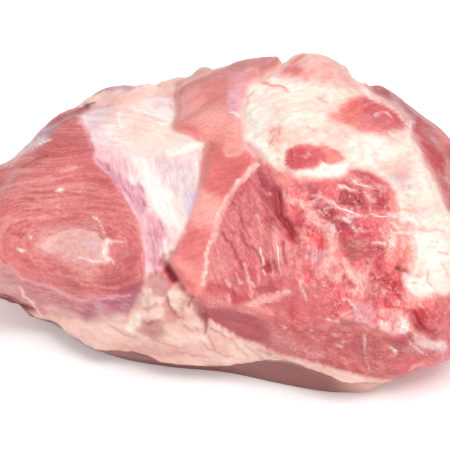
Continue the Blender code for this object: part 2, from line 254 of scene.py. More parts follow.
def unevenness(places, cell, depth, seed, waves=28):
    # smooth random bumps about as wide as the cell: a sum of plane waves in random directions
    draw = np.random.default_rng(seed)
    total = np.zeros(places.shape[:-1])
    for _ in range(waves):
        direction = draw.normal(size=places.shape[-1])
        direction *= 2 * math.pi / (cell * draw.uniform(1.2, 2.8)) / np.linalg.norm(direction)
        total += np.sin(places @ direction + draw.uniform(0, 2 * math.pi))
    return depth * total / math.sqrt(waves / 2)


def crests(places, cell, seed):
    # sharp crests between round hollows, 1 to about -1: a bump field folded at its middle
    return 1 - 1.3 * np.abs(unevenness(places, cell, 1.0, seed))


# Outlines on the drawing plane, in millimetres right of and above its middle.
outlines = dict(
    shank=[(-162, 6), (-158, 24), (-141, 35), (-128, 40), (-115, 44), (-107, 49), (-104, 55),
        (-97, 61), (-87, 66), (-84, 60), (-81, 55), (-79, 48), (-78, 42), (-79, 39), (-73, 32),
        (-67, 27), (-61, 17), (-54, 5), (-51, -2), (-49, -14), (-48, -26), (-49, -36), (-55, -42),
        (-68, -43), (-77, -45), (-88, -45), (-98, -40), (-112, -35), (-122, -31), (-130, -25),
        (-150, -16), (-160, -8)],
    strap=[(-28, 82), (-12, 91), (3, 97), (12, 105), (20, 112), (28, 113), (34, 98), (22, 90),
        (13, 82), (10, 68), (11, 58), (11, 51), (15, 46), (19, 40), (17, 33), (6, 22), (-3, 6),
        (-7, -8), (-11, -20), (-12.5, -34), (-17, -42), (-23, -38), (-30, -28), (-34, -21),
        (-31, -18), (-26, -6), (-20, 8), (-15, 26), (-14, 38), (-11, 50), (-20, 53), (-31, 58),
        (-28, 68)],
    silverskin=[(-87, 66), (-63, 72), (-28, 76), (-28, 66), (-31, 57), (-20, 52), (-13, 45),
        (-15, 30), (-18, 14), (-22, 0), (-28, -12), (-33, -22), (-38, -27), (-44, -27), (-48, -34),
        (-48, -22), (-49, -10), (-51, -1), (-54, 6), (-61, 18), (-67, 28), (-73, 33), (-79, 40),
        (-79, 48), (-82, 57), (-86, 62)],
    ridgeFat=[(-88, 71), (-84, 78), (-60, 88), (-40, 94), (-10, 102), (-4, 96), (-24, 84),
        (-30, 74), (-60, 72), (-78, 71)],
    fatCap=[(34, 97), (22, 90), (13, 82), (10, 68), (12, 58), (11, 51), (20, 44), (28, 35),
        (34, 33), (40, 30), (46, 28), (59, 28), (70, 29), (76, 34), (84, 33), (93, 29), (101, 23),
        (104, 14), (104, 4), (112, 0), (113, -8), (115, -18), (112, -28), (108, -34), (112, -42),
        (119, -44), (126, -41), (133, -42), (144, -30), (152, -10), (141, 4), (133, 10), (127, 25),
        (118, 41), (111, 56), (112, 61), (103, 71), (92, 77), (88, 80), (80, 94), (70, 118),
        (45, 122)],
    cutHollow=[(20, 32), (34, 24), (60, 24), (84, 26), (102, 14), (108, -8), (100, -30), (80, -38),
        (50, -32), (24, -30), (0, -36), (-6, -14), (6, 14)],
    lowerFace=[(-14, -46), (-6, -45), (6, -49), (14, -46), (26, -43), (36, -41), (48, -38),
        (58, -38), (66, -58), (74, -56), (84, -58), (96, -63), (108, -68), (120, -68), (128, -80),
        (100, -92), (59, -86), (19, -72), (-8, -60)],
    smoothFace=[(-13, -46), (-8, -50), (0, -51), (8, -52.5), (16, -54), (22, -56), (26, -60),
        (29, -66), (36, -71), (30, -76), (10, -68), (2, -64), (-8, -58), (-12, -52)],
    redLump=[(113, -50), (119, -44), (126, -41), (132, -46), (133, -56), (129, -66), (121, -68),
        (115, -62)],
    bottomLumps=[(-50, -38), (-45, -33), (-38, -33), (-33, -38), (-28, -33), (-23, -40), (-18, -42),
        (-15, -48), (-12, -56), (-11, -66), (-30, -72), (-60, -66), (-57, -56), (-54, -46)],
    shankPatch=[(-107, -6), (-96, -3.5), (-88, -2.6), (-80, -4), (-75, -8), (-72, -13), (-74, -20),
        (-82, -21), (-92, -20), (-102, -17), (-110, -14), (-112, -9)],
    redPatchHigh=[(66, 65), (70, 69), (78, 75), (86, 78), (95, 75), (104, 69), (111, 62), (109, 57),
        (103, 57.5), (98, 55), (90, 55), (82, 57), (73, 61)],
    redPatchLow=[(36, 41), (38, 46), (44, 49), (52, 49), (60, 47), (66, 45), (71, 40), (66, 37),
        (61, 35.5), (59, 37), (54, 34.5), (48, 33.5), (42, 31), (38, 33)],
    purpleBand=[(-122, -31), (-112, -35), (-98, -40), (-88, -45), (-77, -45), (-68, -43),
        (-55, -42), (-49, -36), (-52, -45), (-57, -52), (-70, -53), (-82, -56), (-92, -53),
        (-104, -48), (-116, -42), (-122, -37)],
    leftFat=[(-170, 0), (-150, -14), (-135, -21), (-127, -26), (-121, -32), (-110, -36),
        (-100, -39), (-92, -43), (-85, -45), (-75, -44), (-65, -43), (-56, -42), (-49, -36),
        (-49, -42), (-52, -52), (-60, -64), (-40, -84), (-90, -84), (-150, -70), (-180, -30)],
    creamTip=[(-36, 45), (-28, 46.5), (-20, 49), (-11, 50), (-12.5, 46.5), (-21, 44.5),
        (-32, 41.5)],
    whiteWedge=[(41, 30), (45, 32.5), (52, 33.5), (59, 37), (61, 35), (66, 36.5), (73, 34),
        (70, 28.5), (62, 28), (54, 29), (47, 28.5)],
    torn=[(34, 26), (46, 27), (60, 26), (70, 29), (76, 34), (84, 33), (93, 29), (101, 23),
        (104, 12), (104, 4), (112, 0), (113, -8), (115, -18), (112, -28), (112, -42), (113, -50),
        (115, -62), (108, -68), (96, -63), (84, -58), (74, -56), (66, -58), (60, -48), (58, -38),
        (48, -37), (40, -32), (38, -22), (43, -9), (37, 0), (33, 10)],
    hood=[(71.5, 30), (76, 33.5), (82, 33.5), (88, 31.5), (94, 28.5), (100, 23.5), (103, 17),
        (101, 11), (96, 9), (91, 15), (88, 22), (82, 25.5), (76, 27.5), (73, 24)],
    salmonRidge=[(36, 24), (44, 20), (50, 14), (55, 8), (60, 2), (66, -3), (68, -9), (62, -14),
        (55, -10), (50, -7), (44, -5), (40, 0), (36, 6), (35, 14)],
    drapes=[(44, -12), (52, -12), (60, -20), (66, -16), (74, -22), (84, -26), (86, -38), (84, -46),
        (76, -50), (66, -48), (58, -38), (50, -34), (42, -30), (40, -20)],
    brownHollow=[(70, -9), (78, -8), (86, -10), (87, -18), (82, -23), (75, -21), (71, -16)],
    darkStreak=[(87, -25), (91, -25), (96, -30), (103, -33), (108, -38), (109, -46), (103, -45),
        (98, -39), (91, -34)],
    paleTissue=[(92, -46), (100, -49), (110, -52), (113, -58), (110, -66), (102, -67), (96, -62),
        (90, -58), (84, -54)],
)
# The flap is the upper end of the strap, closed off below.
outlines["flap"] = outlines["strap"][:11] + [(10, 50), (-1, 49)] + outlines["strap"][-4:]
farEdge = [(70, 97), (80, 86), (88, 80), (97, 75), (103, 71), (111, 64), (111, 56), (118, 41),
           (127, 25), (133, 10), (143, -16)]
rimTop = [(-150, -46), (-122, -52), (-110, -54), (-100, -54), (-84, -58), (-60, -60), (-45, -66),
          (-20, -62), (-10, -57), (0, -62), (10, -68), (20, -71), (32, -77), (45, -80), (59, -85),
          (85, -91), (110, -94), (150, -90)]
seams = [  # points, width, depth
    ([(-36, -21), (-33, -28), (-27, -36)], 3.2, 6.0),                # beside the strap's tip
    ([(-18, -42), (-14, -50), (-11, -60)], 2.2, 4.0),                # between the bottom lumps
    ([(12, 82), (10, 68), (10, 52), (18, 42), (24, 35)], 2.0, 1.0),  # strap against fat cap
    ([(37, 104), (34, 98), (30, 94), (25, 90)], 2.6, 3.4),           # flap against fat cap
    ([(31, 21), (32, 12), (33, 5), (36, 1), (42, -8)], 3.0, 4.0),    # the groove in the cut face
    ([(25, -24), (30, -25)], 3.6, 3.5),                              # a pit in the cut face
    ([(112, -48), (114, -56), (119, -63)], 3.0, 4.0),                # beside the red lump
]
swellings = [  # centre, size, turn, rise
    ((-46, 86), (12, 9), 0, -6.0),
    ((54, 101), (16, 9), 0, 5.5),
    ((81, 90), (10, 8), 40, -9.0),
    ((98, 80), (12, 8), -30, 6.5),
]
# The back: X, and the distance over the ridge and down.
backSeams = [
    ([(72, -8), (64, 30), (34, 78), (6, 130)], 7.0, 8.0),
    ([(-96, 6), (-74, 48), (-46, 92), (-40, 130)], 6.0, 6.0),
    ([(64, 30), (96, 72), (120, 118)], 5.0, 4.5),
]
backFat = [(-84, -6), (-60, 26), (-24, 34), (6, 22), (34, 44), (62, 34), (76, -6)]
backRim = 44.0

bumps = dict(
    swell=dict(cell=46.0, depth=2.4, seed=11),
    knobs=dict(cell=15.0, depth=0.7, seed=12),
    lumps=dict(cell=9.0, depth=3.2, seed=13),
    tears=dict(cell=11.0, depth=2.6, seed=14),
    backRim=dict(cell=30.0, depth=5.0, seed=15),
)
# How each form stands on the meat: rise and width of the step at its outline, rise and reach of the
# dome inside it, and the same with bumps on the dome: reach, rise, share of the bumps, which.
steps = dict(shank=(1.2, 4.0), strap=(3.0, 3.0), flap=(1.2, 2.5), fatCap=(1.8, 3.6))
domes = dict(shank=(4.0, 18.0), strap=(2.0, 8.0), silverskin=(-2.5, 14.0), fatCap=(1.4, 12.0),
             lowerFace=(-2.0, 10.0))
bumpyDomes = dict(ridgeFat=(5.0, 2.0, 0.6, "lumps"), cutHollow=(20.0, -3.5, 1.0, "tears"),
                  bottomLumps=(6.0, 1.5, 1.0, "lumps"))
rises = dict(redLump=5.0, farMuscle=-5.0, rim=2.5, backFat=2.5, backRim=3.0)
# How the front's forms end past the skyline, and the small bumps that make an edge ragged, less so
# near the skyline: size across and push, in millimetres.
edges = dict(frontEnd=8.0, frontFade=30.0, calmEnd=16.0, calmFade=24.0, calm=0.15,
             broad=(6.0, 0.4), fine=(2.2, 0.25))


class Chart:
    # every vertex's places on the drawing plane, and its distance inside an outline, kept once it
    # is worked out; base gives the random bumps their places, shown is the surface that shows, and
    # push moves the places right and up
    def __init__(self, base, shown, push=(0.0, 0.0)):
        self.points = base
        self.x, self.z = base[..., 0], base[..., 2]
        self.u, self.v, self.over = drawingPlane(shown, base)
        self.u, self.v = self.u + push[0], self.v + push[1]
        self.front = smoothStep(edges["frontEnd"] - self.over, edges["frontFade"])
        # ragged places: the same, pushed about by small bumps
        awake = smoothStep(np.abs(self.over) - edges["calmEnd"], edges["calmFade"])
        share = edges["calm"] + (1 - edges["calm"]) * awake
        self.ru, self.rv = (
            place + share * (unevenness(base, *edges["broad"], seed)
                             + unevenness(base, *edges["fine"], seed + 2))
            for place, seed in ((self.u, 31), (self.v, 32)))
        # the drawn lines aren't pushed
        self.lineU, self.lineV = self.ru - push[0], self.rv - push[1]
        self.kept = {}
        edge = np.array(farEdge, float)
        self.pastEdge = self.u - np.interp(self.v, edge[::-1, 1], edge[::-1, 0])
        top = np.array(rimTop, float)
        self.belowRim = np.interp(self.u, top[:, 0], top[:, 1]) - self.v
        self.backFat = region(backFat, self.x, self.over)
        self.upBack = backRim - self.z + unevenness(base, **bumps["backRim"])
        self.intoSlab = along("baseLift", self.x) + along("fatSlab", self.x) - self.z

    def near(self, name):
        if name not in self.kept:
            self.kept[name] = region(outlines[name], self.u, self.v)
        return self.kept[name]

    def ragged(self, name):
        key = name + " ragged"
        if key not in self.kept:
            self.kept[key] = region(outlines[name], self.ru, self.rv)
        return self.kept[key]

    def beyond(self, inset, edgeWidth, sideWidth):
        # 1 on the far muscle: past the far edge, above the torn face and right of the flap
        upAndRight = smoothStep(self.v + 20, 30) * smoothStep(self.u - 68, sideWidth)
        return smoothStep(self.pastEdge - inset, edgeWidth) * upAndRight

    def slab(self):
        # 1 on the layer of fat underneath, with a ragged upper edge
        return smoothStep(self.intoSlab + 0.4 * (self.ru - self.u), 2)


def relief(c):
    # how far each vertex is raised, in millimetres: muscles, fat and film stand on each other by
    # smooth steps at their outlines, seams are valleys, and uneven bumps lie over everything
    points, near = c.points, c.near
    height = unevenness(points, **bumps["swell"]) + unevenness(points, **bumps["knobs"])
    for name, (rise, width) in steps.items():
        height += rise * smoothStep(near(name), width)
    for name, (rise, reach) in domes.items():
        height += rise * dome(near(name), reach)
    for name, (reach, rise, share, which) in bumpyDomes.items():
        height += dome(near(name), reach) * (rise + share * unevenness(points, **bumps[which]))
    height += rises["redLump"] * dome(c.ragged("redLump"), 6)
    for path, width, depth in seams:
        height += groove(path, width, depth, c.u, c.v) * c.front
    for centre, size, turn, rise in swellings:
        height += rise * spot(centre, size, turn, c.u, c.v)
    height += rises["farMuscle"] * c.beyond(2, 5, 20) * smoothStep(60 - c.over, 60)
    height += rises["rim"] * smoothStep(c.belowRim, 3) * c.front
    for path, width, depth in backSeams:
        height += groove(path, width, depth, c.x, c.over) * smoothStep(c.over, 30)
    height += rises["backFat"] * smoothStep(c.backFat, 4) * smoothStep(c.over - 8, 20)
    height += rises["backRim"] * smoothStep(c.upBack, 5) * smoothStep(c.over - 20, 30)
    return height


def keepFlat(c, height):
    # nothing moves on the resting face, and less on the slab and at the two ends
    slabTop = along("baseLift", c.x) + along("fatSlab", c.x)
    height = height * smoothStep(c.z - slabTop * ham["slabStill"], slabTop * ham["slabFade"])
    toEnd = np.minimum(c.x - ham["shankEnd"], ham["cutEnd"] - c.x)
    return height * smoothStep(toEnd - ham["endStill"], ham["endFade"])


def linear(colour):
    # 0 to 255 screen values to linear light
    c = np.array(colour, float) / 255
    return np.where(c <= 0.04045, c / 12.92, ((c + 0.055) / 1.055) ** 2.4)


# Screen colours of each finish, as they are under a light of 1.
tones = dict(
    shank=(218, 120, 118), shankRed=(206, 94, 97), shankDark=(176, 68, 76), shankPale=(236, 160, 153),
    shankDusk=(196, 96, 100), palePatch=(237, 181, 174), sheen=(228, 204, 204),
    # the slit tone is painted shade: the dark inside the narrow slit at the top of the shank muscle
    sheenLilac=(188, 144, 160), slitShade=(120, 22, 28), purple=(174, 82, 105), purpleDark=(160, 70, 96),
    film=(248, 220, 210), filmLilac=(230, 196, 200), filmPink=(229, 152, 164),
    filmRose=(204, 117, 141), filmGrey=(220, 196, 200), filmBlue=(206, 188, 214),
    filmWhite=(250, 242, 234), creamy=(248, 220, 202), peach=(248, 194, 178),
    flap=(221, 133, 126), flapGrey=(202, 134, 130), flapSalmon=(244, 162, 151),
    flapLilac=(226, 158, 172), flapDark=(190, 104, 106),
    strap=(226, 117, 115), strapPale=(250, 174, 163), strapRed=(221, 101, 102),
    strapDusk=(204, 118, 114), peachDeep=(248, 150, 130),
    cut=(226, 117, 123), cutDark=(168, 56, 68), cutRed=(200, 72, 80), cutPale=(238, 158, 154),
    cutSmooth=(222, 134, 132), rosy=(237, 104, 109),
    # tornDark is the dark red of torn meat, also laid as painted shade in its hollows, grooves and
    # folds
    torn=(245, 101, 108), tornDark=(182, 46, 66), tornPale=(255, 186, 176), salmon=(252, 152, 140),
    orange=(238, 106, 96), brown=(184, 92, 86), lilac=(228, 188, 200), white=(255, 240, 234),
    lower=(195, 87, 89), lowerPurple=(174, 81, 88), lowerPale=(211, 127, 129),
    lowerDark=(168, 72, 79), deepRed=(200, 44, 58), bloodRed=(226, 58, 52),
    fat=(254, 236, 222), fatPink=(250, 212, 202), fatRose=(245, 184, 177), fatWhite=(255, 248, 238),
    patch=(230, 99, 102), patchDeep=(203, 66, 78), patchOrange=(246, 120, 108),
    rim=(234, 194, 183), rimPale=(244, 215, 202), rimPink=(208, 145, 141), rimShade=(188, 120, 121),
    # the line tone is painted shade: the darkest red in clefts, pits and creases, and a painted
    # shadow low at the left end
    # the under tone is the underside's brownish skin with painted shade where it meets the floor;
    # underPale is lighter, where that painted shade fades towards the cut end
    under=(141, 86, 82), underPale=(216, 170, 158), line=(128, 40, 46),
    far=(197, 76, 81), farBrown=(172, 84, 82), farGrey=(204, 148, 148), back=(202, 98, 100),
)

# Patches at the places where the photograph shows them: tone, strength, softness in mm, and an
# outline or the name of one.
seen = [
    # the shank muscle; the darker patches along its bottom are its own deeper red, with painted shade
    # where the muscle turns under
    ("shankRed", 0.45, 10, [(-112, 46), (-100, 60), (-88, 64), (-82, 56), (-79, 46), (-80, 36),
        (-92, 36), (-104, 38), (-114, 40)]),
    ("shankDark", 0.35, 7, [(-94, 50), (-86, 56), (-82, 52), (-80, 44), (-86, 43), (-94, 46)]),
    ("shankPale", 0.25, 14, [(-140, 24), (-118, 32), (-100, 30), (-84, 24), (-76, 14), (-84, 6),
        (-104, 4), (-124, 4), (-140, 8)]),
    ("shankPale", 0.8, 3, [(-100, 34), (-92, 35.5), (-90, 32.5), (-97, 32.5)]),
    ("shankDusk", 0.6, 14, [(-162, 32), (-140, 36), (-130, 34), (-136, 20), (-150, 10), (-162, 8)]),
    ("palePatch", 0.5, 8, "shankPatch"),
    ("lilac", 0.35, 3, [(-83, -8), (-77, -8), (-75, -13), (-79, -17), (-85, -13)]),
    ("shankRed", 0.35, 8, [(-70, -12), (-62, -10), (-54, -4), (-50, -14), (-49, -28), (-54, -38),
        (-66, -40), (-80, -42), (-96, -38), (-108, -32), (-118, -24), (-108, -22), (-92, -26),
        (-80, -25), (-72, -26), (-66, -22)]),
    ("shankDark", 0.35, 6, [(-96, -31), (-88, -30), (-84, -38), (-90, -41), (-98, -36)]),
    ("shankDark", 0.6, 8, [(-72, -30), (-60, -28), (-50, -32), (-54, -40), (-64, -42), (-74, -38)]),
    ("shankDark", 0.4, 6, [(-62, -14), (-56, -12), (-52, -22), (-56, -28), (-62, -24)]),
    ("shankPale", 0.6, 6, [(-88, -23), (-78, -24), (-74, -28), (-82, -33), (-92, -30)]),
    ("sheenLilac", 0.9, 3, [(-121, 46), (-113, 54), (-107, 60), (-101, 60), (-104, 55),
        (-110, 50)]),
    ("sheen", 0.85, 3, [(-134, 40), (-120, 46), (-113, 53), (-106, 53), (-110, 48), (-120, 43),
        (-132, 36)]),
    # fat and film below the shank; their darker patches are their own colour with painted shade under
    # the shank's bulge
    ("rimShade", 0.6, 8, [(-150, -22), (-130, -26), (-121, -34), (-118, -44), (-130, -46),
        (-150, -40)]),
    ("shankDusk", 0.9, 6, [(-121, -33), (-110, -37), (-100, -41), (-92, -45), (-92, -50),
        (-104, -46), (-116, -43)]),
    ("purpleDark", 0.7, 4, [(-84, -50), (-77, -50), (-76, -54), (-84, -55.5)]),
    ("purpleDark", 0.6, 6, [(-66, -42), (-52, -36), (-50, -42), (-55, -50), (-64, -49)]),
    ("rimShade", 0.7, 3.5, [(-124, -36), (-104, -42), (-104, -48), (-120, -46)]),
    ("shankDusk", 0.16, 4, [(-127, -33), (-104, -33), (-104, -48), (-127, -48)]),
    ("rimPale", 0.3, 4, [(-78, -48), (-72, -48), (-72, -53), (-78, -53)]),
    ("rimPale", 0.6, 5, [(-68, -55), (-60, -55), (-60, -62), (-68, -63)]),
    # a painted shadow low on the left end, near the floor
    ("line", 0.8, 4, [(-128, -47.5), (-120, -48), (-114, -50), (-122, -51)]),
    # silverskin
    ("filmLilac", 0.95, 5, [(-88, 64), (-84, 70), (-70, 70), (-70, 60), (-72, 50), (-79, 47),
        (-81, 54), (-85, 60)]),
    ("creamy", 0.7, 8, [(-70, 62), (-50, 66), (-32, 60), (-30, 50), (-56, 46), (-66, 52)]),
    ("filmPink", 0.6, 6, [(-78, 47), (-66, 46), (-58, 38), (-56, 28), (-62, 24), (-72, 34),
        (-79, 40)]),
    ("filmRose", 0.95, 3.5, [(-79, 41), (-74, 38), (-66, 33), (-57, 26), (-48, 22), (-46, 16),
        (-48, 8), (-51, 4), (-56, 12), (-62, 20), (-68, 27), (-74, 33)]),
    ("filmPink", 0.9, 4, [(-52, 4), (-44, 8), (-38, 4), (-36, -8), (-37, -22), (-40, -28),
        (-46, -26), (-49, -12), (-51, -3)]),
    ("filmRose", 0.75, 4, [(-46, -4), (-39, -3), (-37, -14), (-38, -24), (-43, -26), (-46, -18)]),
    ("filmWhite", 0.85, 6, [(-56, 42), (-46, 38), (-40, 26), (-34, 14), (-28, 0), (-32, -4),
        (-40, 6), (-46, 16), (-52, 30)]),
    ("filmWhite", 0.8, 4, [(-38, 24), (-34, 26), (-30, 10), (-26, 0), (-24, -4), (-30, -8),
        (-36, 4)]),
    ("filmGrey", 0.8, 5, [(-42, 40), (-30, 38), (-20, 36), (-16, 26), (-18, 16), (-26, 16),
        (-33, 20), (-38, 28)]),
    ("filmBlue", 0.8, 3, [(-25, 15), (-17, 20), (-16, 10), (-20, 3), (-24, 8)]),
    ("filmGrey", 0.7, 3, [(-46, 74), (-30, 78), (-28, 70), (-34, 70), (-46, 72)]),
    ("filmPink", 0.4, 4, [(-38, 0), (-28, -2), (-28, -12), (-34, -18), (-37, -10)]),
    ("tornDark", 0.8, 1.5, [(-34, -15), (-30.5, -14), (-28, -10), (-30, -19), (-33.5, -19.5)]),
    # painted shadow under the strap's tip, beside its cleft
    ("purpleDark", 0.9, 2.4, [(-37, -24), (-33.6, -22.6), (-31, -27), (-28.2, -33), (-31, -33.6),
        (-34, -34), (-35, -29)]),
    ("deepRed", 0.6, 2, [(-43, -21), (-40, -21), (-40, -24), (-43, -24)]),
    ("rimPink", 0.8, 3, [(-46, -28), (-38, -28), (-33, -35), (-34, -43), (-40, -44), (-47, -36)]),
    # the pink ridge above it
    ("fatRose", 0.5, 3, [(-74, 73), (-56, 74), (-48, 82), (-54, 84), (-66, 79)]),
    ("sheenLilac", 0.85, 2.5, [(-73, 81.5), (-62, 86), (-52, 86), (-57, 81), (-68, 80)]),
    ("peach", 0.6, 3, [(-66, 69), (-44, 69), (-46, 73), (-62, 74)]),
    # flap and strap
    ("flapGrey", 0.8, 9, [(-30, 84), (-14, 94), (2, 98), (2, 90), (-12, 84), (-22, 76), (-26, 62),
        (-31, 60)]),
    ("flapDark", 0.5, 4, [(-29, 84), (-24, 84), (-24, 79), (-29, 78)]),
    ("flapSalmon", 0.75, 8, [(-8, 66), (4, 67), (10, 62), (10, 52), (0, 50), (-12, 52), (-14, 58)]),
    ("flapLilac", 0.9, 3, [(1, 78), (4, 83), (11, 84), (10.5, 70), (9, 66), (3, 67), (2, 72)]),
    ("flapLilac", 0.6, 4, [(4, 92), (12, 92), (15, 88), (10, 84), (2, 86)]),
    ("flapDark", 0.6, 4, [(0, 98), (10, 101), (20, 103), (32, 100), (34, 97), (24, 94), (14, 95),
        (4, 93)]),
    # painted shade in a fold at the top of the flap
    ("tornDark", 0.9, 3, [(13, 84), (16, 88), (22, 91), (25, 89), (20, 85)]),
    ("tornDark", 0.8, 1.5, [(10.3, 76), (12, 79), (13.4, 77), (11.5, 75)]),
    ("strapRed", 0.5, 3, [(-24, 58), (-16, 53), (-12, 52), (-18, 58), (-22, 61)]),
    ("strapDusk", 0.85, 4, [(-11, 49), (-5, 49), (-7, 40), (-10, 28), (-13, 20), (-15, 30),
        (-14, 40)]),
    ("strapPale", 0.95, 6, [(-14, 22), (-8, 18), (-1, 12), (-5, 2), (-12, 0), (-20, 0), (-19, 8),
        (-16, 16)]),
    ("strapRed", 0.3, 6, [(-16, -2), (-8, -4), (-10, -14), (-14, -22), (-24, -16), (-20, -6)]),
    ("strapPale", 0.35, 4, [(-34, -20), (-28, -18), (-20, -24), (-14, -26), (-14, -36), (-20, -33),
        (-27, -28)]),
    ("strapRed", 0.8, 4, [(-28, -29), (-24, -32), (-18, -37), (-15, -42), (-18, -44), (-24, -38)]),
    ("peachDeep", 0.7, 2.5, [(-16, -32), (-13, -33), (-12, -38), (-15, -43), (-18, -42)]),
    ("strapPale", 0.6, 2.5, [(-1, 43), (3, 41), (9, 43), (12, 48), (10, 50), (0, 49)]),
    ("strapRed", 0.45, 6, [(-4, 36), (10, 38), (18, 40), (14, 30), (4, 24), (-4, 26)]),
    ("lilac", 0.6, 1.5, [(13, 48), (16, 45), (18.5, 41), (16.5, 41), (12.5, 46)]),
    ("tornDark", 0.7, 1.5, [(11, 50.5), (14, 50.5), (15, 47), (13.5, 47)]),
    # the cut face
    ("cutSmooth", 0.9, 6, [(-2, 0), (-8, -8), (-11, -20), (-12, -32), (-4, -34), (3, -28), (3, -18),
        (0, -8)]),
    ("cutPale", 0.3, 7, [(2, 12), (14, 20), (22, 10), (18, -6), (12, -18), (6, -12), (2, -2)]),
    ("cutDark", 0.85, 6, [(22, 32), (28, 26), (33, 20), (34, 8), (40, -2), (43, -9), (38, -6),
        (30, 2), (24, 14), (20, 26)]),
    ("tornDark", 0.3, 4, [(22, 18), (32, 18), (34, 3), (24, 3)]),
    ("brown", 0.7, 2.5, [(18.5, 42), (21, 42), (23, 34), (23, 28), (19.5, 31)]),
    ("cutPale", 0.35, 8, [(18, -6), (28, -2), (36, -8), (38, -22), (30, -20), (20, -18)]),
    # painted shade in a pit of the cut face
    ("tornDark", 0.85, 3, [(24.5, -22), (30, -20.5), (31.5, -27), (28, -29), (24, -27)]),
    ("cutPale", 0.45, 3, [(20, -30), (30, -28.5), (40, -26), (43, -28), (32, -32), (22, -34)]),
    ("cutRed", 0.6, 6, [(2, -31), (10, -26), (18, -28), (22, -34), (14, -38), (4, -37)]),
    ("cutRed", 0.7, 4, [(-11, -35), (2, -34), (4, -40), (-4, -42), (-12, -41)]),
    ("cutRed", 0.95, 3, [(1, -41), (10, -40), (14, -45), (5, -48)]),
    ("cutDark", 0.6, 3, [(18, -38), (30, -36.5), (34, -40), (24, -43)]),
    ("cutRed", 0.6, 3, [(25, -31), (33, -32), (34, -36), (26, -36)]),
    ("cutRed", 0.6, 3, [(38, -30), (43, -31), (44, -36), (40, -34)]),
    ("tornPale", 0.85, 2, [(13, -47), (20, -44), (28, -41), (37, -38), (39, -41), (30, -45),
        (20, -48.5), (14, -49.5)]),
    ("salmon", 0.5, 3, [(10, -50), (24, -48), (31, -50), (28, -56), (20, -53.5), (12, -52)]),
    ("cutSmooth", 0.7, 3, [(-14, -43), (-6, -42), (2, -46), (-4, -49.5), (-14, -48)]),
    # the face below it
    ("lowerPale", 0.6, 3.5, [(14, -52), (22, -55), (30, -64), (40, -70), (32, -72), (26, -66),
        (21, -58)]),
    ("lowerDark", 0.5, 4, [(16, -56), (24, -58), (26, -66), (18, -66)]),
    ("rosy", 0.5, 8, [(30, -46), (48, -40), (60, -40), (66, -56), (52, -60), (36, -58)]),
    ("deepRed", 0.45, 4, [(38, -44), (42, -45), (43, -54), (40, -57), (37, -50)]),
    ("lowerPale", 0.5, 3, [(33, -48), (38, -47), (39, -52), (34, -54)]),
    ("rosy", 0.7, 3, [(58, -38), (66, -39), (67, -46), (59, -46)]),
    ("deepRed", 0.7, 3.5, [(62, -49), (68, -46), (70, -54), (67, -58), (63, -55)]),
    ("lowerDark", 0.6, 2.5, [(70, -57), (77, -57), (76, -60), (70, -60)]),
    ("lowerPale", 0.5, 8, [(30, -68), (44, -71), (58, -74), (60, -81), (48, -80), (34, -76)]),
    ("lowerDark", 0.5, 6, [(76, -70), (90, -68), (92, -80), (80, -82)]),
    ("lowerDark", 0.7, 4, [(100, -70), (112, -68), (111, -77), (102, -75)]),
    ("lowerPale", 0.7, 3, [(108, -70), (115, -71), (122, -78), (114, -80), (107, -76)]),
    ("rosy", 0.45, 4, [(102, -82), (116, -80), (126, -81), (124, -86), (108, -88)]),
    ("tornPale", 0.7, 1.5, [(110, -86.5), (117, -85.5), (120, -83), (114, -84)]),
    # the torn face; its tornDark patches in hollows are its darker red, deepened as painted shade
    ("cutRed", 0.75, 4, [(40, 28), (46, 27), (58, 27), (69, 27), (68, 18), (58, 19), (46, 20),
        (40, 22)]),
    ("salmon", 0.8, 3, [(42, 28), (48, 30), (56, 29), (58, 26), (50, 25), (44, 25)]),
    ("salmon", 0.7, 3, [(33, 32), (39, 33), (41, 28), (39, 22), (35, 24)]),
    ("purple", 0.5, 3, [(48, 24), (52, 25), (54, 19), (49, 20)]),
    ("rosy", 0.8, 4, [(58, 26), (68, 26), (70, 20), (66, 15), (58, 18)]),
    ("tornPale", 0.7, 3.5, [(40, 17), (46, 16), (52, 13), (58, 6), (64, 0), (67, -5), (66, -9),
        (60, -6), (54, -1), (48, 4), (44, 11), (38, 14)]),
    ("orange", 0.5, 3, [(42, 11), (48, 9), (49, 5), (45, 3), (41, 6)]),
    ("orange", 0.6, 3, [(51, -2), (58, -5), (57, -8), (50, -5)]),
    ("tornDark", 0.25, 3, [(38, 2), (46, 2), (54, -4), (50, -7), (42, -4)]),
    ("tornDark", 0.8, 3, [(53, 15), (57, 17.5), (60, 14), (61, 6), (56, 8)]),
    ("tornDark", 0.9, 3.5, [(61, 11), (67, 10), (68, 4), (78, 5), (80, 0), (78, -4), (70, -3),
        (62, 1)]),
    ("rosy", 0.7, 3, [(66, -2), (72, -3), (73, -8), (67, -9)]),
    ("tornDark", 1.0, 5, [(68, 20), (74, 20), (80, 18), (85, 15), (84, 10), (76, 10), (69, 12)]),
    ("lilac", 0.25, 3, [(81, 20), (88, 19), (93, 14), (88, 11), (84, 14)]),
    ("tornDark", 0.5, 5, [(72, 27), (90, 26), (91, 15), (72, 15)]),
    ("patchDeep", 1.0, 2.5, [(72, 29), (76, 33), (82, 33), (88, 31), (94, 27), (92, 24), (84, 24.5),
        (78, 28), (75, 29)]),
    ("orange", 0.6, 2, [(74, 33.5), (84, 33.5), (94, 29.5), (100, 24.5), (94, 31.5), (84, 35.5)]),
    ("cutRed", 0.85, 2.5, [(70, 28), (75, 28), (78, 24), (74, 22), (70, 24)]),
    ("tornDark", 0.85, 2, [(86, 22), (91, 22), (95, 19), (97, 14), (97, 8), (95, 8), (94, 14),
        (91, 19)]),
    ("salmon", 0.75, 3.5, [(97, 22), (101, 20), (104, 12), (104, 7), (98, 8), (98, 15)]),
    ("rosy", 0.8, 4, [(84, 5), (98, 3), (99, -6), (90, -9), (82, -6)]),
    ("tornDark", 0.6, 3.5, [(76, -2), (84, 0), (87, -4), (84, -8), (77, -7)]),
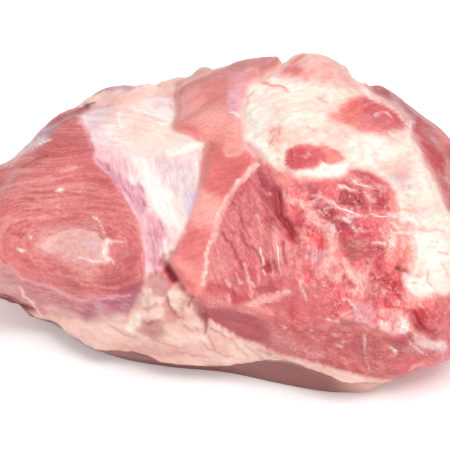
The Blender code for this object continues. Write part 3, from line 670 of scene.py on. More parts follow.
    ("brown", 0.95, 4, [(70, -9), (78, -8), (84, -10), (85, -17), (81, -21), (75, -20), (71, -16)]),
    ("cutRed", 0.8, 4, [(82, -9), (90, -10), (90, -19), (84, -21), (80, -17)]),
    ("tornPale", 0.8, 4, [(60, -3), (66, -5), (68, -10), (69, -22), (64, -27), (59, -24),
        (61, -12)]),
    ("salmon", 0.5, 4, [(66, -14), (70, -15), (70, -22), (66, -22)]),
    ("orange", 0.8, 2, [(43, -9), (47, -9.5), (48, -13), (44, -12)]),
    ("cutPale", 0.6, 4, [(38, -12), (48, -13), (49, -22), (44, -28), (38, -22)]),
    ("lilac", 0.45, 4, [(50, -14), (58, -14), (62, -20), (56, -23), (50, -20)]),
    ("tornPale", 0.9, 4, [(74, -24), (80, -28), (86, -28), (86, -36), (83, -43), (76, -40),
        (72, -30)]),
    ("tornPale", 0.6, 5, [(52, -22), (62, -24), (72, -26), (72, -34), (62, -33), (54, -28)]),
    ("cutRed", 0.7, 2.5, [(70, -31), (74, -31), (77, -36), (73, -37)]),
    ("rosy", 0.7, 3, [(77, -22), (83, -22), (85, -27), (80, -28)]),
    ("tornDark", 0.6, 4, [(90, -12), (97, -13), (97, -22), (93, -26), (89, -20)]),
    ("salmon", 0.8, 4, [(97, -4), (103, -6), (104, -22), (99, -28), (97, -18)]),
    ("white", 0.8, 2.5, [(99, -5), (103, -7), (103, -14), (100, -14)]),
    ("salmon", 0.85, 3, [(103, -6), (109, -7), (112, -13), (112, -18), (103, -17), (102, -11)]),
    ("orange", 0.75, 2.5, [(103, -14.5), (110, -14), (112, -17.5), (105, -17.5)]),
    ("salmon", 0.6, 3.5, [(104, 1), (112, 2), (118, -2), (118, -4), (108, -3)]),
    ("tornPale", 0.7, 4, [(106, -21), (112, -22), (119, -24), (119, -32), (114, -33), (110, -28)]),
    ("deepRed", 0.95, 3, [(88, -25), (93, -26), (98, -30), (104, -33), (107, -37), (109, -44),
        (106, -47), (103, -44), (99, -40), (95, -38), (91, -34)]),
    ("patch", 0.6, 3, [(105, -34), (108, -36), (111, -44), (109, -47), (106, -42)]),
    ("brown", 0.6, 4, [(87, -33), (93, -36), (94, -48), (88, -46), (85, -40)]),
    ("patch", 0.7, 3, [(94, -43), (101, -42), (104, -47), (98, -48), (94, -46)]),
    ("rosy", 0.5, 4, [(62, -34), (72, -37), (76, -44), (68, -46), (60, -42)]),
    ("lilac", 0.5, 4, [(78, -46), (88, -48), (90, -56), (82, -58), (76, -54)]),
    ("tornPale", 0.7, 5, [(92, -49), (104, -50), (112, -54), (112, -64), (103, -66), (96, -62)]),
    ("white", 0.7, 2.5, [(92, -58), (98, -59), (100, -63), (95, -63)]),
    ("white", 0.8, 2.5, [(105, -56), (109, -57), (111, -63), (107, -66), (104, -62)]),
    ("orange", 0.7, 2, [(94, -55), (98, -55), (98, -58), (94, -58)]),
    ("tornPale", 0.8, 3, [(108, -38), (117, -41), (119, -47), (112, -50), (107, -47)]),
    # the red lump and what is round it
    ("orange", 0.5, 4, [(120, -44), (126, -42), (132, -45), (132, -51), (124, -52), (119, -49)]),
    ("deepRed", 1.0, 2.5, [(114, -52), (118, -49), (122, -51), (121, -58), (119, -62), (115, -58)]),
    ("deepRed", 0.12, 3, [(115, -45), (132, -45), (132, -65), (115, -65)]),
    ("deepRed", 0.25, 3, [(122, -53), (130, -55), (129, -62), (124, -66), (120, -62)]),
    ("tornDark", 0.8, 3, [(121, -61), (127, -63), (127, -69), (122, -70)]),
    ("tornDark", 0.8, 3, [(104, -67), (110, -64), (114, -67), (110, -72), (104, -70)]),
    ("fatPink", 0.7, 3, [(112, -64), (120, -66), (122, -73), (116, -72)]),
    ("white", 0.7, 3, [(120, -70), (130, -70), (134, -74), (128, -76), (122, -73)]),
    # the fat cap
    ("fatRose", 0.9, 8, [(38, 100), (52, 108), (66, 104), (78, 90), (86, 82), (74, 82), (60, 84),
        (46, 86), (36, 92)]),
    ("patch", 0.75, 4, [(24, 92), (32, 96), (44, 96), (46, 92), (38, 89), (26, 89)]),
    ("peachDeep", 0.6, 2, [(22, 86), (27, 85), (34, 84), (38, 80), (34, 82), (26, 83)]),
    ("fatRose", 0.5, 3, [(26, 58), (34, 60), (36, 50), (32, 42), (27, 48)]),
    ("fatPink", 0.7, 6, [(34, 58), (60, 60), (74, 54), (74, 44), (66, 48), (44, 52), (34, 48)]),
    ("fatWhite", 1.0, 6, [(12, 72), (22, 82), (28, 76), (24, 60), (26, 48), (30, 40), (24, 38),
        (16, 48), (12, 58)]),
    ("fatWhite", 0.85, 8, [(76, 50), (86, 54), (98, 52), (101, 42), (90, 36), (78, 38)]),
    ("fatPink", 0.5, 8, [(20, 76), (34, 78), (36, 66), (24, 66)]),
    ("patchDeep", 0.9, 4, [(37, 43), (42, 46), (52, 46), (60, 43), (64, 40), (56, 37), (48, 34),
        (41, 32), (37, 36)]),
    ("patchOrange", 0.8, 3, [(57, 48), (66, 46), (71, 40.5), (66, 37), (62, 38), (60, 43)]),
    ("patchOrange", 0.85, 6, [(62, 65), (70, 70), (79, 76), (82, 70), (82, 62), (76, 60),
        (68, 62)]),
    ("patchDeep", 0.75, 5, [(84, 68), (94, 74), (104, 69), (111, 62), (104, 60), (94, 62)]),
    ("patchOrange", 0.6, 3, [(78, 60), (90, 56.5), (98, 56), (96, 59), (86, 61)]),
    ("lilac", 0.75, 5, [(98, 28), (104, 34), (111, 32), (112, 24), (106, 21), (100, 25)]),
    ("fatRose", 0.5, 6, [(90, 34), (104, 40), (112, 44), (112, 34), (100, 28)]),
    ("fatWhite", 0.5, 5, [(114, 40), (119, 36), (128, 16), (132, 4), (122, 4), (118, 18)]),
    ("fatWhite", 0.9, 6, [(112, 6), (126, 4), (136, -6), (134, -34), (122, -42), (114, -34),
        (112, -12)]),
    ("peach", 0.5, 4, [(104, 3), (112, 3), (119, -2), (114, -6), (114, -13), (118, -22), (119, -30),
        (113, -31), (108, -24), (106, -10)]),
    ("fatWhite", 0.9, 3, [(107, -29), (112, -30), (114, -34), (115, -39), (109, -38)]),
    ("fatPink", 0.35, 4, [(112, 14), (120, 13), (124, 7), (118, 4), (111, 8)]),
    ("peachDeep", 0.35, 2.5, [(126, 15), (129, 14), (128, 8), (125, 9)]),
    # the far muscle
    ("farBrown", 0.8, 6, [(86, 82), (98, 84), (112, 76), (120, 66), (114, 64), (104, 71),
        (94, 76)]),
    ("farGrey", 0.6, 3, [(96, 76), (106, 71), (114, 64), (115, 67), (106, 73), (98, 78)]),
    ("rosy", 0.3, 6, [(113, 58), (120, 48), (128, 36), (132, 22), (126, 28), (118, 42), (112, 52)]),
    ("farGrey", 0.35, 4, [(116, 60), (124, 58), (132, 50), (128, 48), (118, 54)]),
    ("orange", 0.5, 4, [(128, 58), (136, 54), (136, 48), (129, 50)]),
    ("tornDark", 0.2, 4, [(125, 39), (134, 38), (134, 20), (127, 24)]),
    ("salmon", 0.5, 2, [(114, 55), (119, 45), (124, 33), (129, 22), (134, 9), (136, 4), (131, 14),
        (126, 25), (121, 36), (116, 46)]),
    # a faint painted sheen along the right edge of the far muscle
    ("fatWhite", 0.1, 2, [(131, 36), (135, 36), (135, 20), (132, 20)]),
    # the lumps of fat and the rim at the bottom
    ("rimPink", 0.8, 2, [(-36, -52), (-30, -51), (-29, -57), (-35, -58)]),
    ("rimPink", 0.7, 2, [(-37, -41), (-34, -44), (-32, -50), (-34, -55), (-38, -50), (-39, -45)]),
    ("rimShade", 0.85, 2, [(-20, -46), (-15, -46), (-12, -55), (-15, -57), (-19, -51)]),
    ("rimShade", 0.7, 2, [(-27, -37), (-23, -38), (-19, -42), (-21, -45), (-25, -42)]),
    ("rimPale", 1.0, 1.6, [(-34, -41), (-31, -36), (-28, -35), (-27, -40), (-28, -46), (-27, -52),
        (-31, -50), (-34, -46)]),
    ("fatWhite", 0.7, 1.6, [(-34, -41), (-32, -39.5), (-32, -43), (-34, -44)]),
    ("rimPale", 0.9, 1.8, [(-25, -47), (-23, -50), (-20, -48), (-21, -52), (-25, -54), (-27, -50)]),
    ("rimPale", 0.95, 1.8, [(-49, -39), (-44, -39), (-43, -44), (-44, -49), (-48, -50),
        (-50, -45)]),
    ("rimPale", 0.8, 1.8, [(-40, -44), (-36, -42.5), (-37, -45), (-40, -47), (-42, -46)]),
    ("fatPink", 0.8, 2, [(-50, -51), (-42, -49), (-37, -52), (-40, -57), (-50, -58)]),
    ("fatWhite", 0.75, 2, [(-55, -55), (-51, -54), (-51, -60), (-56, -64), (-59, -62)]),
    ("rimPink", 0.6, 3, [(-50, -58), (-40, -58), (-36, -60), (-38, -66), (-50, -66)]),
    ("rimPale", 0.8, 2, [(-25, -58), (-18, -57), (-13, -61), (-20, -62.5)]),
    ("rimPale", 0.8, 3, [(-36, -70), (-30, -65), (-12, -66), (-12, -70), (-30, -71)]),
    ("rimPink", 0.5, 4, [(-60, -72), (-36, -73), (-20, -76), (-36, -79), (-60, -76)]),
    ("rimPale", 1.0, 1.4, [(-9.5, -57), (-4, -59.5), (4, -65.5), (3, -67), (-6, -62.5),
        (-9.5, -60)]),
    ("rimPale", 0.7, 4, [(6, -70), (20, -76), (40, -83), (30, -83), (14, -80), (2, -78)]),
    ("rimShade", 0.5, 2.5, [(20, -74), (30, -76), (40, -79), (40, -81), (30, -79), (20, -76)]),
]

# Marks painted on: tone, strength, width, points.
strokes = [
    ("shankDark", 0.9, 1.6, [(-104, 61.5), (-97, 64.5), (-90, 68), (-83, 71.5)]),
    ("shankDark", 0.8, 2.6, [(-106, 59.5), (-97, 63), (-90, 66.5), (-82, 70.5)]),
    # painted shade inside the slit at the top of the shank muscle, also cut in as a groove
    ("slitShade", 1.0, 1.5, [(-84, 71.4), (-79, 72.8)]),
    ("white", 0.9, 1.2, [(-111, 49), (-106, 50.8)]),
    ("shankDark", 0.6, 1.5, [(-82, 57), (-79.5, 47), (-79.5, 42)]),
    ("shankDark", 0.7, 1.6, [(-113.5, 39.5), (-108, 41)]),
    ("shankDark", 0.6, 1.0, [(-121, 35), (-116, 37), (-111, 40)]),
    ("shankDark", 0.6, 0.8, [(-118, 20), (-100, 19.8), (-88, 18.2)]),
    ("shankDark", 0.6, 0.8, [(-122, 15.5), (-115, 15.5)]),
    ("shankRed", 0.8, 0.9, [(-120, 8.2), (-105, 8.4), (-98.5, 7.5)]),
    ("shankRed", 0.7, 0.8, [(-124, 2), (-116, 3.2)]),
    ("shankRed", 0.8, 1.2, [(-106, -4), (-98, -3), (-90, -1.2), (-82, -3)]),
    ("shankDark", 0.6, 1.0, [(-89, 1), (-80, -2), (-75, -6), (-72, -9)]),
    ("shankRed", 0.7, 1.0, [(-92, 7.5), (-84, 6.5), (-79, 4)]),
    ("shankDark", 0.6, 1.6, [(-128, -5.5), (-121, -6.3)]),
    ("shankRed", 0.6, 0.9, [(-121, -21), (-115, -24), (-111, -27)]),
    ("shankRed", 0.6, 0.9, [(-109, -25), (-98, -27), (-88, -29)]),
    ("shankPale", 0.6, 0.8, [(-106, -28.5), (-96, -30), (-86, -34)]),
    ("shankPale", 0.6, 0.8, [(-90, -33), (-76, -37), (-64, -38)]),
    ("white", 0.7, 1.0, [(-124, -14.5), (-121, -15.8)]),
    ("white", 0.8, 1.0, [(-101, 20.5), (-97, 20.5)]),
    ("filmPink", 0.85, 1.2, [(-140, -17), (-135, -21), (-127, -26), (-121, -32), (-110, -36),
        (-100, -39), (-92, -43), (-85, -45), (-75, -44), (-65, -43), (-57, -42)]),
    ("fatPink", 0.8, 1.1, [(-123, -37), (-121, -42), (-116, -46), (-113, -50), (-110, -54)]),
    # a painted shadow low on the left end, near the floor
    ("line", 0.8, 1.2, [(-128, -48.6), (-120, -49.3), (-115, -50.2)]),
    ("filmPink", 0.85, 0.8, [(-87, 64), (-83, 58.5), (-80.3, 52), (-78.3, 46), (-77.6, 42),
        (-78.6, 40), (-73.6, 34), (-67.6, 28), (-62.6, 21), (-59.6, 17), (-54, 8), (-51, 1),
        (-49.6, -10), (-48.4, -24), (-48, -34)]),
    ("filmRose", 0.7, 1.0, [(-76, 38.5), (-70, 34), (-63, 27.5)]),
    ("filmWhite", 0.9, 1.3, [(-35.6, -9), (-35.6, -21)]),
    ("filmWhite", 0.7, 0.8, [(-38, -8), (-38.5, -20)]),
    ("filmWhite", 0.7, 1.2, [(-56, 30), (-55, 24)]),
    ("filmWhite", 0.8, 1.4, [(-64, 66), (-61, 60)]),
    ("purple", 0.6, 1.0, [(-53, 13.5), (-49, 11.5), (-44, 11)]),
    ("purple", 0.5, 1.0, [(-40, 2), (-38, -3)]),
    # painted shade in the cleft beside the strap's tip
    ("tornDark", 0.6, 2.6, [(-37, -23), (-33.5, -27), (-30.5, -31.5)]),
    ("line", 0.5, 1.3, [(-34.5, -25), (-31, -30), (-29.5, -32.5)]),
    ("tornDark", 0.35, 1.4, [(-28, -34), (-25, -37.5)]),
    # painted shade in the cleft between the bottom lumps of fat
    ("tornDark", 0.8, 1.2, [(-19, -43), (-22.5, -48.5)]),
    ("line", 0.8, 1.4, [(-12.7, -54), (-11, -57)]),
    ("purpleDark", 0.9, 1.6, [(-11, -58), (-11.4, -62), (-12, -65)]),
    ("tornDark", 0.6, 1.0, [(-30, -53), (-27.5, -54.5)]),
    ("purple", 0.6, 1.2, [(-34, -43), (-33.5, -48), (-31, -52)]),
    ("rimShade", 0.7, 1.0, [(-8, -62.5), (-4, -64), (2, -67)]),
    ("rimPink", 0.8, 0.9, [(-10, -66), (-6, -75)]),
    ("rimPink", 0.7, 0.9, [(4, -68), (10, -76), (14, -79)]),
    ("white", 0.8, 1.1, [(3.5, 67), (9.5, 66)]),
    ("strapPale", 0.7, 0.9, [(0, 43), (3, 41.3), (9, 43), (12, 48)]),
    ("flapDark", 0.4, 1.0, [(1, 55.5), (6, 55)]),
    ("strapPale", 0.5, 0.8, [(-8, 64), (0, 65.5)]),
    ("cutDark", 0.8, 1.0, [(2, -9), (6, -16), (9, -22), (11, -26)]),
    ("cutDark", 0.8, 1.0, [(10, -7), (14, -12), (15, -15)]),
    ("cutDark", 0.8, 1.0, [(17, -13), (21, -18), (22.5, -24)]),
    ("cutDark", 0.7, 1.0, [(-2, -4), (1, -8), (3, -12)]),
    ("cutDark", 0.6, 1.0, [(9, 4), (13, -3), (15, -8)]),
    ("cutDark", 0.6, 1.0, [(16, 10), (20, 4), (25, -1)]),
    ("cutDark", 0.6, 1.0, [(4, 14), (7, 8), (9, 4)]),
    ("cutPale", 0.6, 0.9, [(11, 14), (12, 8)]),
    ("cutPale", 0.6, 0.9, [(16, 3), (22, -4), (27, -10)]),
    ("cutPale", 0.6, 0.9, [(13, -2), (17, -8), (20, -12)]),
    ("cutDark", 0.8, 1.2, [(35, -10), (35, -16), (36, -22)]),
    ("cutDark", 0.6, 1.0, [(40, -14), (41, -22)]),
    # painted shade in the groove of the cut face, over its thin dark red line
    ("tornDark", 0.9, 2.0, [(31, 20), (33, 12), (32, 7)]),
    ("tornDark", 0.9, 2.0, [(35, 3), (38, -1), (41, -6), (42, -8)]),
    ("tornPale", 0.8, 1.2, [(43.5, -8.4), (45, -7.6), (48, -8), (50, -11), (49.6, -16),
        (50.2, -20)]),
    ("tornPale", 0.7, 1.5, [(60, 16), (64, 13.5), (68, 11)]),
    ("cutDark", 0.7, 0.7, [(90, 12), (97, 12.2)]),
    ("cutDark", 0.7, 0.7, [(90, 9.7), (98, 9.7)]),
    # painted shadow under a white strand of the torn face
    ("tornDark", 0.8, 1.2, [(90, -12.6), (96, -14)]),
    ("bloodRed", 0.95, 1.0, [(96, -47), (100, -48.7), (104, -49.3)]),
    ("orange", 0.7, 1.6, [(104, -49.4), (110, -50.6), (115, -51)]),
    # painted shade in the pit of the torn face
    ("line", 0.9, 1.2, [(104, -26), (107, -27)]),
    ("brown", 0.8, 1.2, [(106, -26.8), (111, -27)]),
    ("rimPink", 0.8, 0.7, [(110, -35), (115, -35)]),
    ("rimPink", 0.7, 0.6, [(121.5, -28), (121.2, -33)]),
    ("rimPink", 0.7, 0.9, [(122.5, -35), (125, -37)]),
    ("rimPink", 0.6, 0.7, [(113, -9), (117, -9)]),
    ("rimPink", 0.6, 0.8, [(128, -15), (133, -17)]),
    # painted shade in the groove beside the red lump
    ("line", 0.7, 1.0, [(113, -52), (117, -59), (120, -63)]),
    ("fatPink", 0.7, 0.8, [(110, -70), (117, -76), (121, -78)]),
    ("fatWhite", 0.8, 1.2, [(99.5, -73), (101.5, -75.5)]),
    ("fatWhite", 0.95, 1.2, [(112.6, 61.5), (110.6, 57), (112, 52), (115, 46), (118, 40.5)]),
    ("cutDark", 0.6, 1.2, [(82, 84), (90, 81.5), (98, 81), (104, 77)]),
    ("cutDark", 0.5, 1.0, [(104, 71.5), (112, 66.5), (117, 63)]),
    ("orange", 0.8, 1.4, [(39.5, 97.3), (44, 100), (47.5, 102)]),
    ("patchOrange", 0.7, 1.2, [(22, 85.3), (27, 84), (32, 84), (38, 80)]),
    ("patchOrange", 0.7, 1.2, [(12.5, 72), (14, 76), (16, 79)]),
    ("patch", 0.7, 1.0, [(27, 49), (28.5, 52), (29, 54)]),
    ("patch", 0.6, 1.2, [(31.5, 50), (32.5, 58)]),
    ("patchOrange", 0.5, 1.2, [(56, 76), (62, 74.5)]),
    ("fatPink", 0.8, 0.8, [(90, 66), (97, 67), (99, 65)]),
    ("fatWhite", 0.9, 1.3, [(99, 56), (101, 53.5)]),
    ("fatRose", 0.6, 0.8, [(101, 52), (105, 50)]),
    ("fatRose", 0.6, 0.8, [(111, 48), (114, 44)]),
    ("tornPale", 0.6, 0.9, [(48, 40.5), (50, 43)]),
    ("lowerPale", 0.7, 1.0, [(0, -49.3), (10, -51.3), (20, -53)]),
    ("lowerPale", 0.5, 1.0, [(27, -57), (30, -64), (38, -69)]),
    ("deepRed", 0.7, 1.2, [(39.5, -49), (40, -56)]),
    ("white", 0.45, 0.8, [(83.5, -65.5), (84.2, -72), (83.5, -75)]),
    ("white", 0.5, 0.6, [(66, -72), (70, -72.6)]),
    ("white", 0.3, 0.8, [(85, -81), (88, -87)]),
    ("lowerPale", 0.8, 0.8, [(48, -76), (49, -73), (52, -72.5), (53, -75.5), (51, -78), (48, -76)]),
    ("white", 0.7, 0.7, [(70, -45), (74, -44), (76.5, -47)]),
    ("white", 0.6, 0.7, [(61, -56), (64, -58), (69, -58.5)]),
    ("white", 0.6, 0.7, [(72, -56), (76, -54.5)]),
    ("white", 0.6, 0.8, [(83, -57.5), (89, -60.5)]),
    ("white", 0.5, 0.8, [(48, -44.5), (46, -33), (47, -37)]),
    # the strap's white edge
    ("fatWhite", 1.0, 1.6, [(19, 36.4), (15.2, 32.8), (12.6, 29.8), (9, 26), (5, 21.6)]),
    ("fatPink", 0.8, 1.3, [(5, 21.6), (1.5, 17), (-1, 13), (-3.2, 6)]),
    ("fatWhite", 0.95, 1.2, [(-3.2, 6), (-5.6, -2), (-7.6, -8), (-9.6, -14)]),
    ("fatWhite", 1.0, 1.5, [(-9.6, -14), (-11.2, -21), (-12, -27), (-13, -35)]),
    # veins of the shank muscle
    ("white", 0.55, 0.6, [(-79, 4.5), (-76, 2), (-74, -1), (-71.5, -5)]),
    ("white", 0.6, 0.8, [(-71.5, -9.5), (-66, -10.5), (-61, -9)]),
    ("fatWhite", 1.0, 2.4, [(-70.5, -10.5), (-72.4, -14), (-72.6, -18), (-71, -21)]),
    ("white", 0.75, 0.9, [(-66, -23.8), (-69, -21.6), (-76, -21.5), (-83, -20.6), (-88, -19.4)]),
    # pale fibres where the cut face meets the one below it
    ("white", 0.8, 0.5, [(22, -14), (23, -20), (23.4, -29)]),
    ("white", 0.6, 0.9, [(11, -22), (13.6, -29), (17.4, -37)]),
    ("white", 0.55, 0.9, [(6.6, -29), (9.4, -35)]),
    ("white", 0.5, 0.9, [(1.6, -33.4), (3, -37)]),
    ("tornPale", 0.7, 1.0, [(2, -42), (3.2, -47)]),
    ("tornPale", 0.7, 1.0, [(13, -30), (15, -38), (15.5, -43)]),
    ("tornPale", 0.7, 1.0, [(18.6, -24), (20, -31), (21, -36)]),
    ("tornPale", 0.7, 1.0, [(27, -16), (28.5, -23), (29, -30)]),
    ("white", 0.7, 1.0, [(52, 17.4), (55, 18), (57.6, 19.6)]),
    ("white", 0.7, 1.0, [(52.6, 13.4), (55.6, 15.6), (58, 18)]),
    ("white", 0.8, 1.2, [(69, 23.2), (72.4, 21.6), (74, 21.2), (76.6, 21.6)]),
    ("white", 0.6, 1.0, [(34.6, 20.4), (34.8, 16)]),
    ("white", 0.8, 1.2, [(89.5, -11), (93, -11.6), (96.6, -12.2)]),
    ("white", 0.7, 1.2, [(71.6, 3.6), (74, 2), (76.6, 3.8), (80, 5.4)]),
    # pale and dark threads of the torn face
    ("tornPale", 0.6, 1.4, [(43, -2), (44, -4), (46, -6), (44, -8)]),
    ("tornPale", 0.8, 1.6, [(60, 16), (64, 13), (67, 11.6)]),
    ("white", 0.7, 1.2, [(62, 1.4), (64, 0.6), (66, -1.6), (64, -3)]),
    ("lilac", 0.8, 1.4, [(60.4, 7), (62, 9.6), (64.6, 10.4)]),
    ("lilac", 0.8, 1.6, [(72, 3), (73.4, 5.4), (75, 2.2), (78, 3.6)]),
    ("cutDark", 0.8, 1.1, [(68, -1.6), (71, 0), (75, -1.6), (79, -1)]),
    ("tornPale", 0.7, 1.2, [(71, -20), (72, -25), (74, -30)]),
    ("tornPale", 0.7, 1.2, [(74, -22), (76, -28), (78.4, -33), (82, -38)]),
    ("cutRed", 0.8, 1.2, [(71, -31), (74, -34), (78, -37)]),
    ("cutDark", 0.7, 1.4, [(86, -23), (88, -28), (90, -33)]),
    ("tornPale", 0.8, 1.3, [(84.6, -24.6), (88, -24), (86, -27.6), (88.4, -27)]),
    ("tornDark", 0.6, 1.4, [(97.6, 19), (97, 14), (98, 9)]),
    ("lilac", 0.7, 1.2, [(92.4, 24), (92.8, 21), (93.2, 18)]),
    ("salmon", 0.7, 1.8, [(100, 11.4), (106, 10.4), (112, 8.4)]),
    ("brown", 0.5, 1.6, [(100, 2), (106, 1), (112, 0)]),
    ("fatPink", 0.8, 1.6, [(98, 6.6), (106, 5), (116, 3)]),
    ("fatPink", 0.7, 1.4, [(101, -4), (108, -3.6), (116, -5)]),
    # streaks of pink in the white fat at the right
    ("fatRose", 0.7, 1.2, [(119, -2.8), (125, -3), (131, -3.6)]),
    ("fatRose", 0.6, 1.0, [(124, -9.8), (128, -10.8)]),
    ("fatRose", 0.6, 1.0, [(128, -15), (131, -16), (134, -17.4)]),
    ("fatRose", 0.6, 1.4, [(111, 11.6), (116, 10.6), (121, 10.4)]),
    ("fatRose", 0.6, 1.2, [(112, 8.4), (117, 6.4), (120, 4.6)]),
    ("fatRose", 0.7, 1.2, [(121.8, -27), (121.6, -31), (121.2, -34.6)]),
    ("salmon", 0.6, 1.4, [(108, 1), (113, -1.6), (118, -3.4)]),
    ("white", 0.8, 1.4, [(100, 5.2), (104, 3.6), (108, 2.8), (113, 4)]),
    ("white", 0.7, 1.2, [(104, -4.4), (109, -4.8), (115, -5)]),
    ("salmon", 0.6, 1.6, [(111, -26.4), (114, -28.4), (116.4, -31)]),
    ("fatRose", 0.6, 1.6, [(131, -23), (132.6, -26), (133, -30)]),
    # creases in the fat and the rim
    ("rimShade", 0.75, 1.2, [(-36, -42), (-34.6, -46), (-33, -49), (-32.4, -53)]),
    ("rimShade", 0.6, 1.0, [(-49, -50), (-45, -50.6), (-42, -48.6), (-41, -46)]),
    ("rimShade", 0.6, 1.1, [(-50, -58.4), (-44, -58.6), (-39, -57.6), (-36, -58.8)]),
    ("rimShade", 0.6, 1.1, [(-27, -57.4), (-24, -60), (-21, -62.6), (-16, -62)]),
    ("tornDark", 0.45, 1.1, [(-26, -50), (-24.6, -53), (-26, -55.6)]),
    ("rimPink", 0.7, 1.2, [(-70, -60), (-62, -65), (-54, -67)]),
    ("rimPink", 0.7, 1.0, [(-44, -68), (-34, -72), (-24, -73)]),
    ("rimPink", 0.7, 1.0, [(-14, -70), (-6, -76), (4, -79)]),
    ("rimPink", 0.7, 1.1, [(-30, -76), (-20, -78), (-10, -79.6)]),
    ("rimPink", 0.7, 1.0, [(12, -72), (18, -77), (24, -82)]),
    ("rimPink", 0.6, 1.0, [(26, -76), (33, -80), (40, -84)]),
    ("rimPale", 0.7, 1.2, [(30, -77.6), (42, -81), (56, -84.4), (70, -89), (84, -92)]),
    # the wavy seams between the bundles of the cut face
    ("cutDark", 0.5, 1.1, [(3, 19), (6, 20.6), (10, 19)]),
    ("cutDark", 0.45, 1.0, [(5, 17), (8, 17), (10, 14)]),
    ("cutDark", 0.5, 1.1, [(4, 14.6), (8, 11.6), (9, 7), (8.6, 0), (9.6, -6)]),
    ("cutDark", 0.45, 1.0, [(1, 6), (3, 2), (2.6, -2), (5, -5)]),
    ("cutDark", 0.45, 1.0, [(12, 13), (13, 8), (16, 4), (19, 1)]),
    ("cutDark", 0.5, 1.0, [(17, 12), (20, 8), (24, 4), (28, 1), (32, -2)]),
    ("cutDark", 0.5, 1.0, [(20, 13), (25, 9), (28, 5), (31, 2)]),
    ("cutDark", 0.45, 1.0, [(14, 2), (18, -3), (20, -8)]),
    ("cutPale", 0.6, 1.0, [(19, 6), (23, 0), (27, -4), (29, -9)]),
    ("cutPale", 0.6, 1.0, [(24, 12), (29, 6), (33, 0), (37, -4)]),
    ("cutPale", 0.6, 1.0, [(22, 22), (25, 20), (28, 19)]),
    ("cutDark", 0.5, 1.2, [(-3, -4), (1, -9), (4, -15), (7, -20), (10, -26)]),
    ("cutDark", 0.45, 1.1, [(8, -4), (12, -10), (15, -14)]),
    ("cutDark", 0.45, 1.0, [(16, -12), (19, -16), (22, -20), (22.4, -26)]),
    ("cutDark", 0.5, 1.1, [(35, -10), (34.6, -16), (36, -23)]),
    ("cutPale", 0.7, 1.2, [(40, -13), (42, -20), (44, -26)]),
    ("cutDark", 0.45, 1.2, [(-8, -36), (0, -38), (6, -41)]),
    ("cutDark", 0.45, 1.2, [(18, -39), (26, -37.4), (33, -38)]),
]

# Small spots: tone, strength, size across in mm, places.
dots = [
    # painted glints: small highlights on wet drops of the cut face
    ("white", 0.95, 1.0, [(45, -27), (48.6, -36.6), (53.2, -35), (38.3, -40), (59.5, -35.2),
        (33, -26.5), (61.5, -27)]),
    ("white", 0.8, 0.8, [(34, -60), (36, -61.5), (52, -63), (56, -55), (55, -43), (66.8, -66),
        (74.4, -66), (102, -62), (60, -62), (41, -71), (71, -70), (79, -57.5)]),
    ("white", 0.8, 1.4, [(95, -40), (104.4, -46.4), (101.5, -13), (78, -2.5), (74, 2.5), (86, 17.5),
        (84, 19.5), (64.5, 5), (87, -21.5), (93.5, -3), (117, -48)]),
    ("white", 0.7, 0.7, [(77, 14), (79, 12), (81, 16), (83, 13.5), (76, 16.5), (80, -1), (82, -3),
        (62, 7), (75.5, 0.5), (61, 1)]),
    ("lilac", 0.5, 1.6, [(52, -15), (54, -17.5), (57, -15.5), (56, -20)]),
    # painted shade in the middle of that pit
    ("line", 0.9, 1.7, [(104.3, -26.2)]),
    ("line", 0.8, 1.0, [(100.7, -62.3), (87, -19.9), (90, -31.8), (59.8, -47.8), (122, -77)]),
    ("tornDark", 0.7, 1.4, [(94, 12.8), (40, -44), (42, -64)]),
    ("shankRed", 0.7, 1.4, [(-93.5, 13), (-115, 24)]),
    ("patch", 0.8, 1.2, [(27.6, 55.8), (31.6, 39.5), (50, 58.5), (53.5, 57), (61, 55.5), (59, 96.5),
        (61.5, 96), (29.5, 57.5)]),
    ("patch", 0.45, 3.0, [(52.5, 92.5), (63, 89), (48, 88), (59, 88)]),
    ("sheenLilac", 0.7, 1.6, [(104.2, 20.5), (110, 17.5), (111, 22.8)]),
    ("white", 0.8, 1.4, [(-122, -15.5), (-117, -7.5), (-44, -27.5), (-99, 20.5)]),
    ("tornDark", 0.5, 1.6, [(13, -59), (19, -61), (22, -59)]),
]

# Soft lines that follow a whole outline: which one, tone, how far inside, width, strength.
borders = [
    ("fatCap", "fatRose", 0.0, 1.6, 0.5), ("fatCap", "fatWhite", 2.2, 1.4, 0.5),
    ("strap", "strapPale", 0.3, 1.2, 0.5), ("lowerFace", "lowerPale", 0.5, 1.2, 0.25),
]

# The way the fibres run in each muscle, right and up on the drawing plane.
fibreWay = dict(
    strap=(0.93, 0.36), flap=(0.92, 0.38), cut=(0.42, -0.9), torn=(0.72, -0.69),
    drape=(0.2, -0.98), lower=(0.95, -0.3), cap=(0.95, 0.3), far=(0.75, -0.66),
    filmHigh=(0.99, -0.1), filmLow=(0.25, -0.97), back=(0.8, 0.6), rim=(0.97, -0.2),
)
shankCentre = (-90.0, -12.0)
shankRing = 4.0      # how far round the shank muscle its fibres' places go
fibreStretch = 0.13
layerGap = 17.0      # keeps the places of one way of the fibres apart from those of the others
# How the fibres bend: size across and push in mm, and the first of two seeds.
bends = dict(all=(26.0, 1.0, 41), torn=(13.0, 1.6, 43))


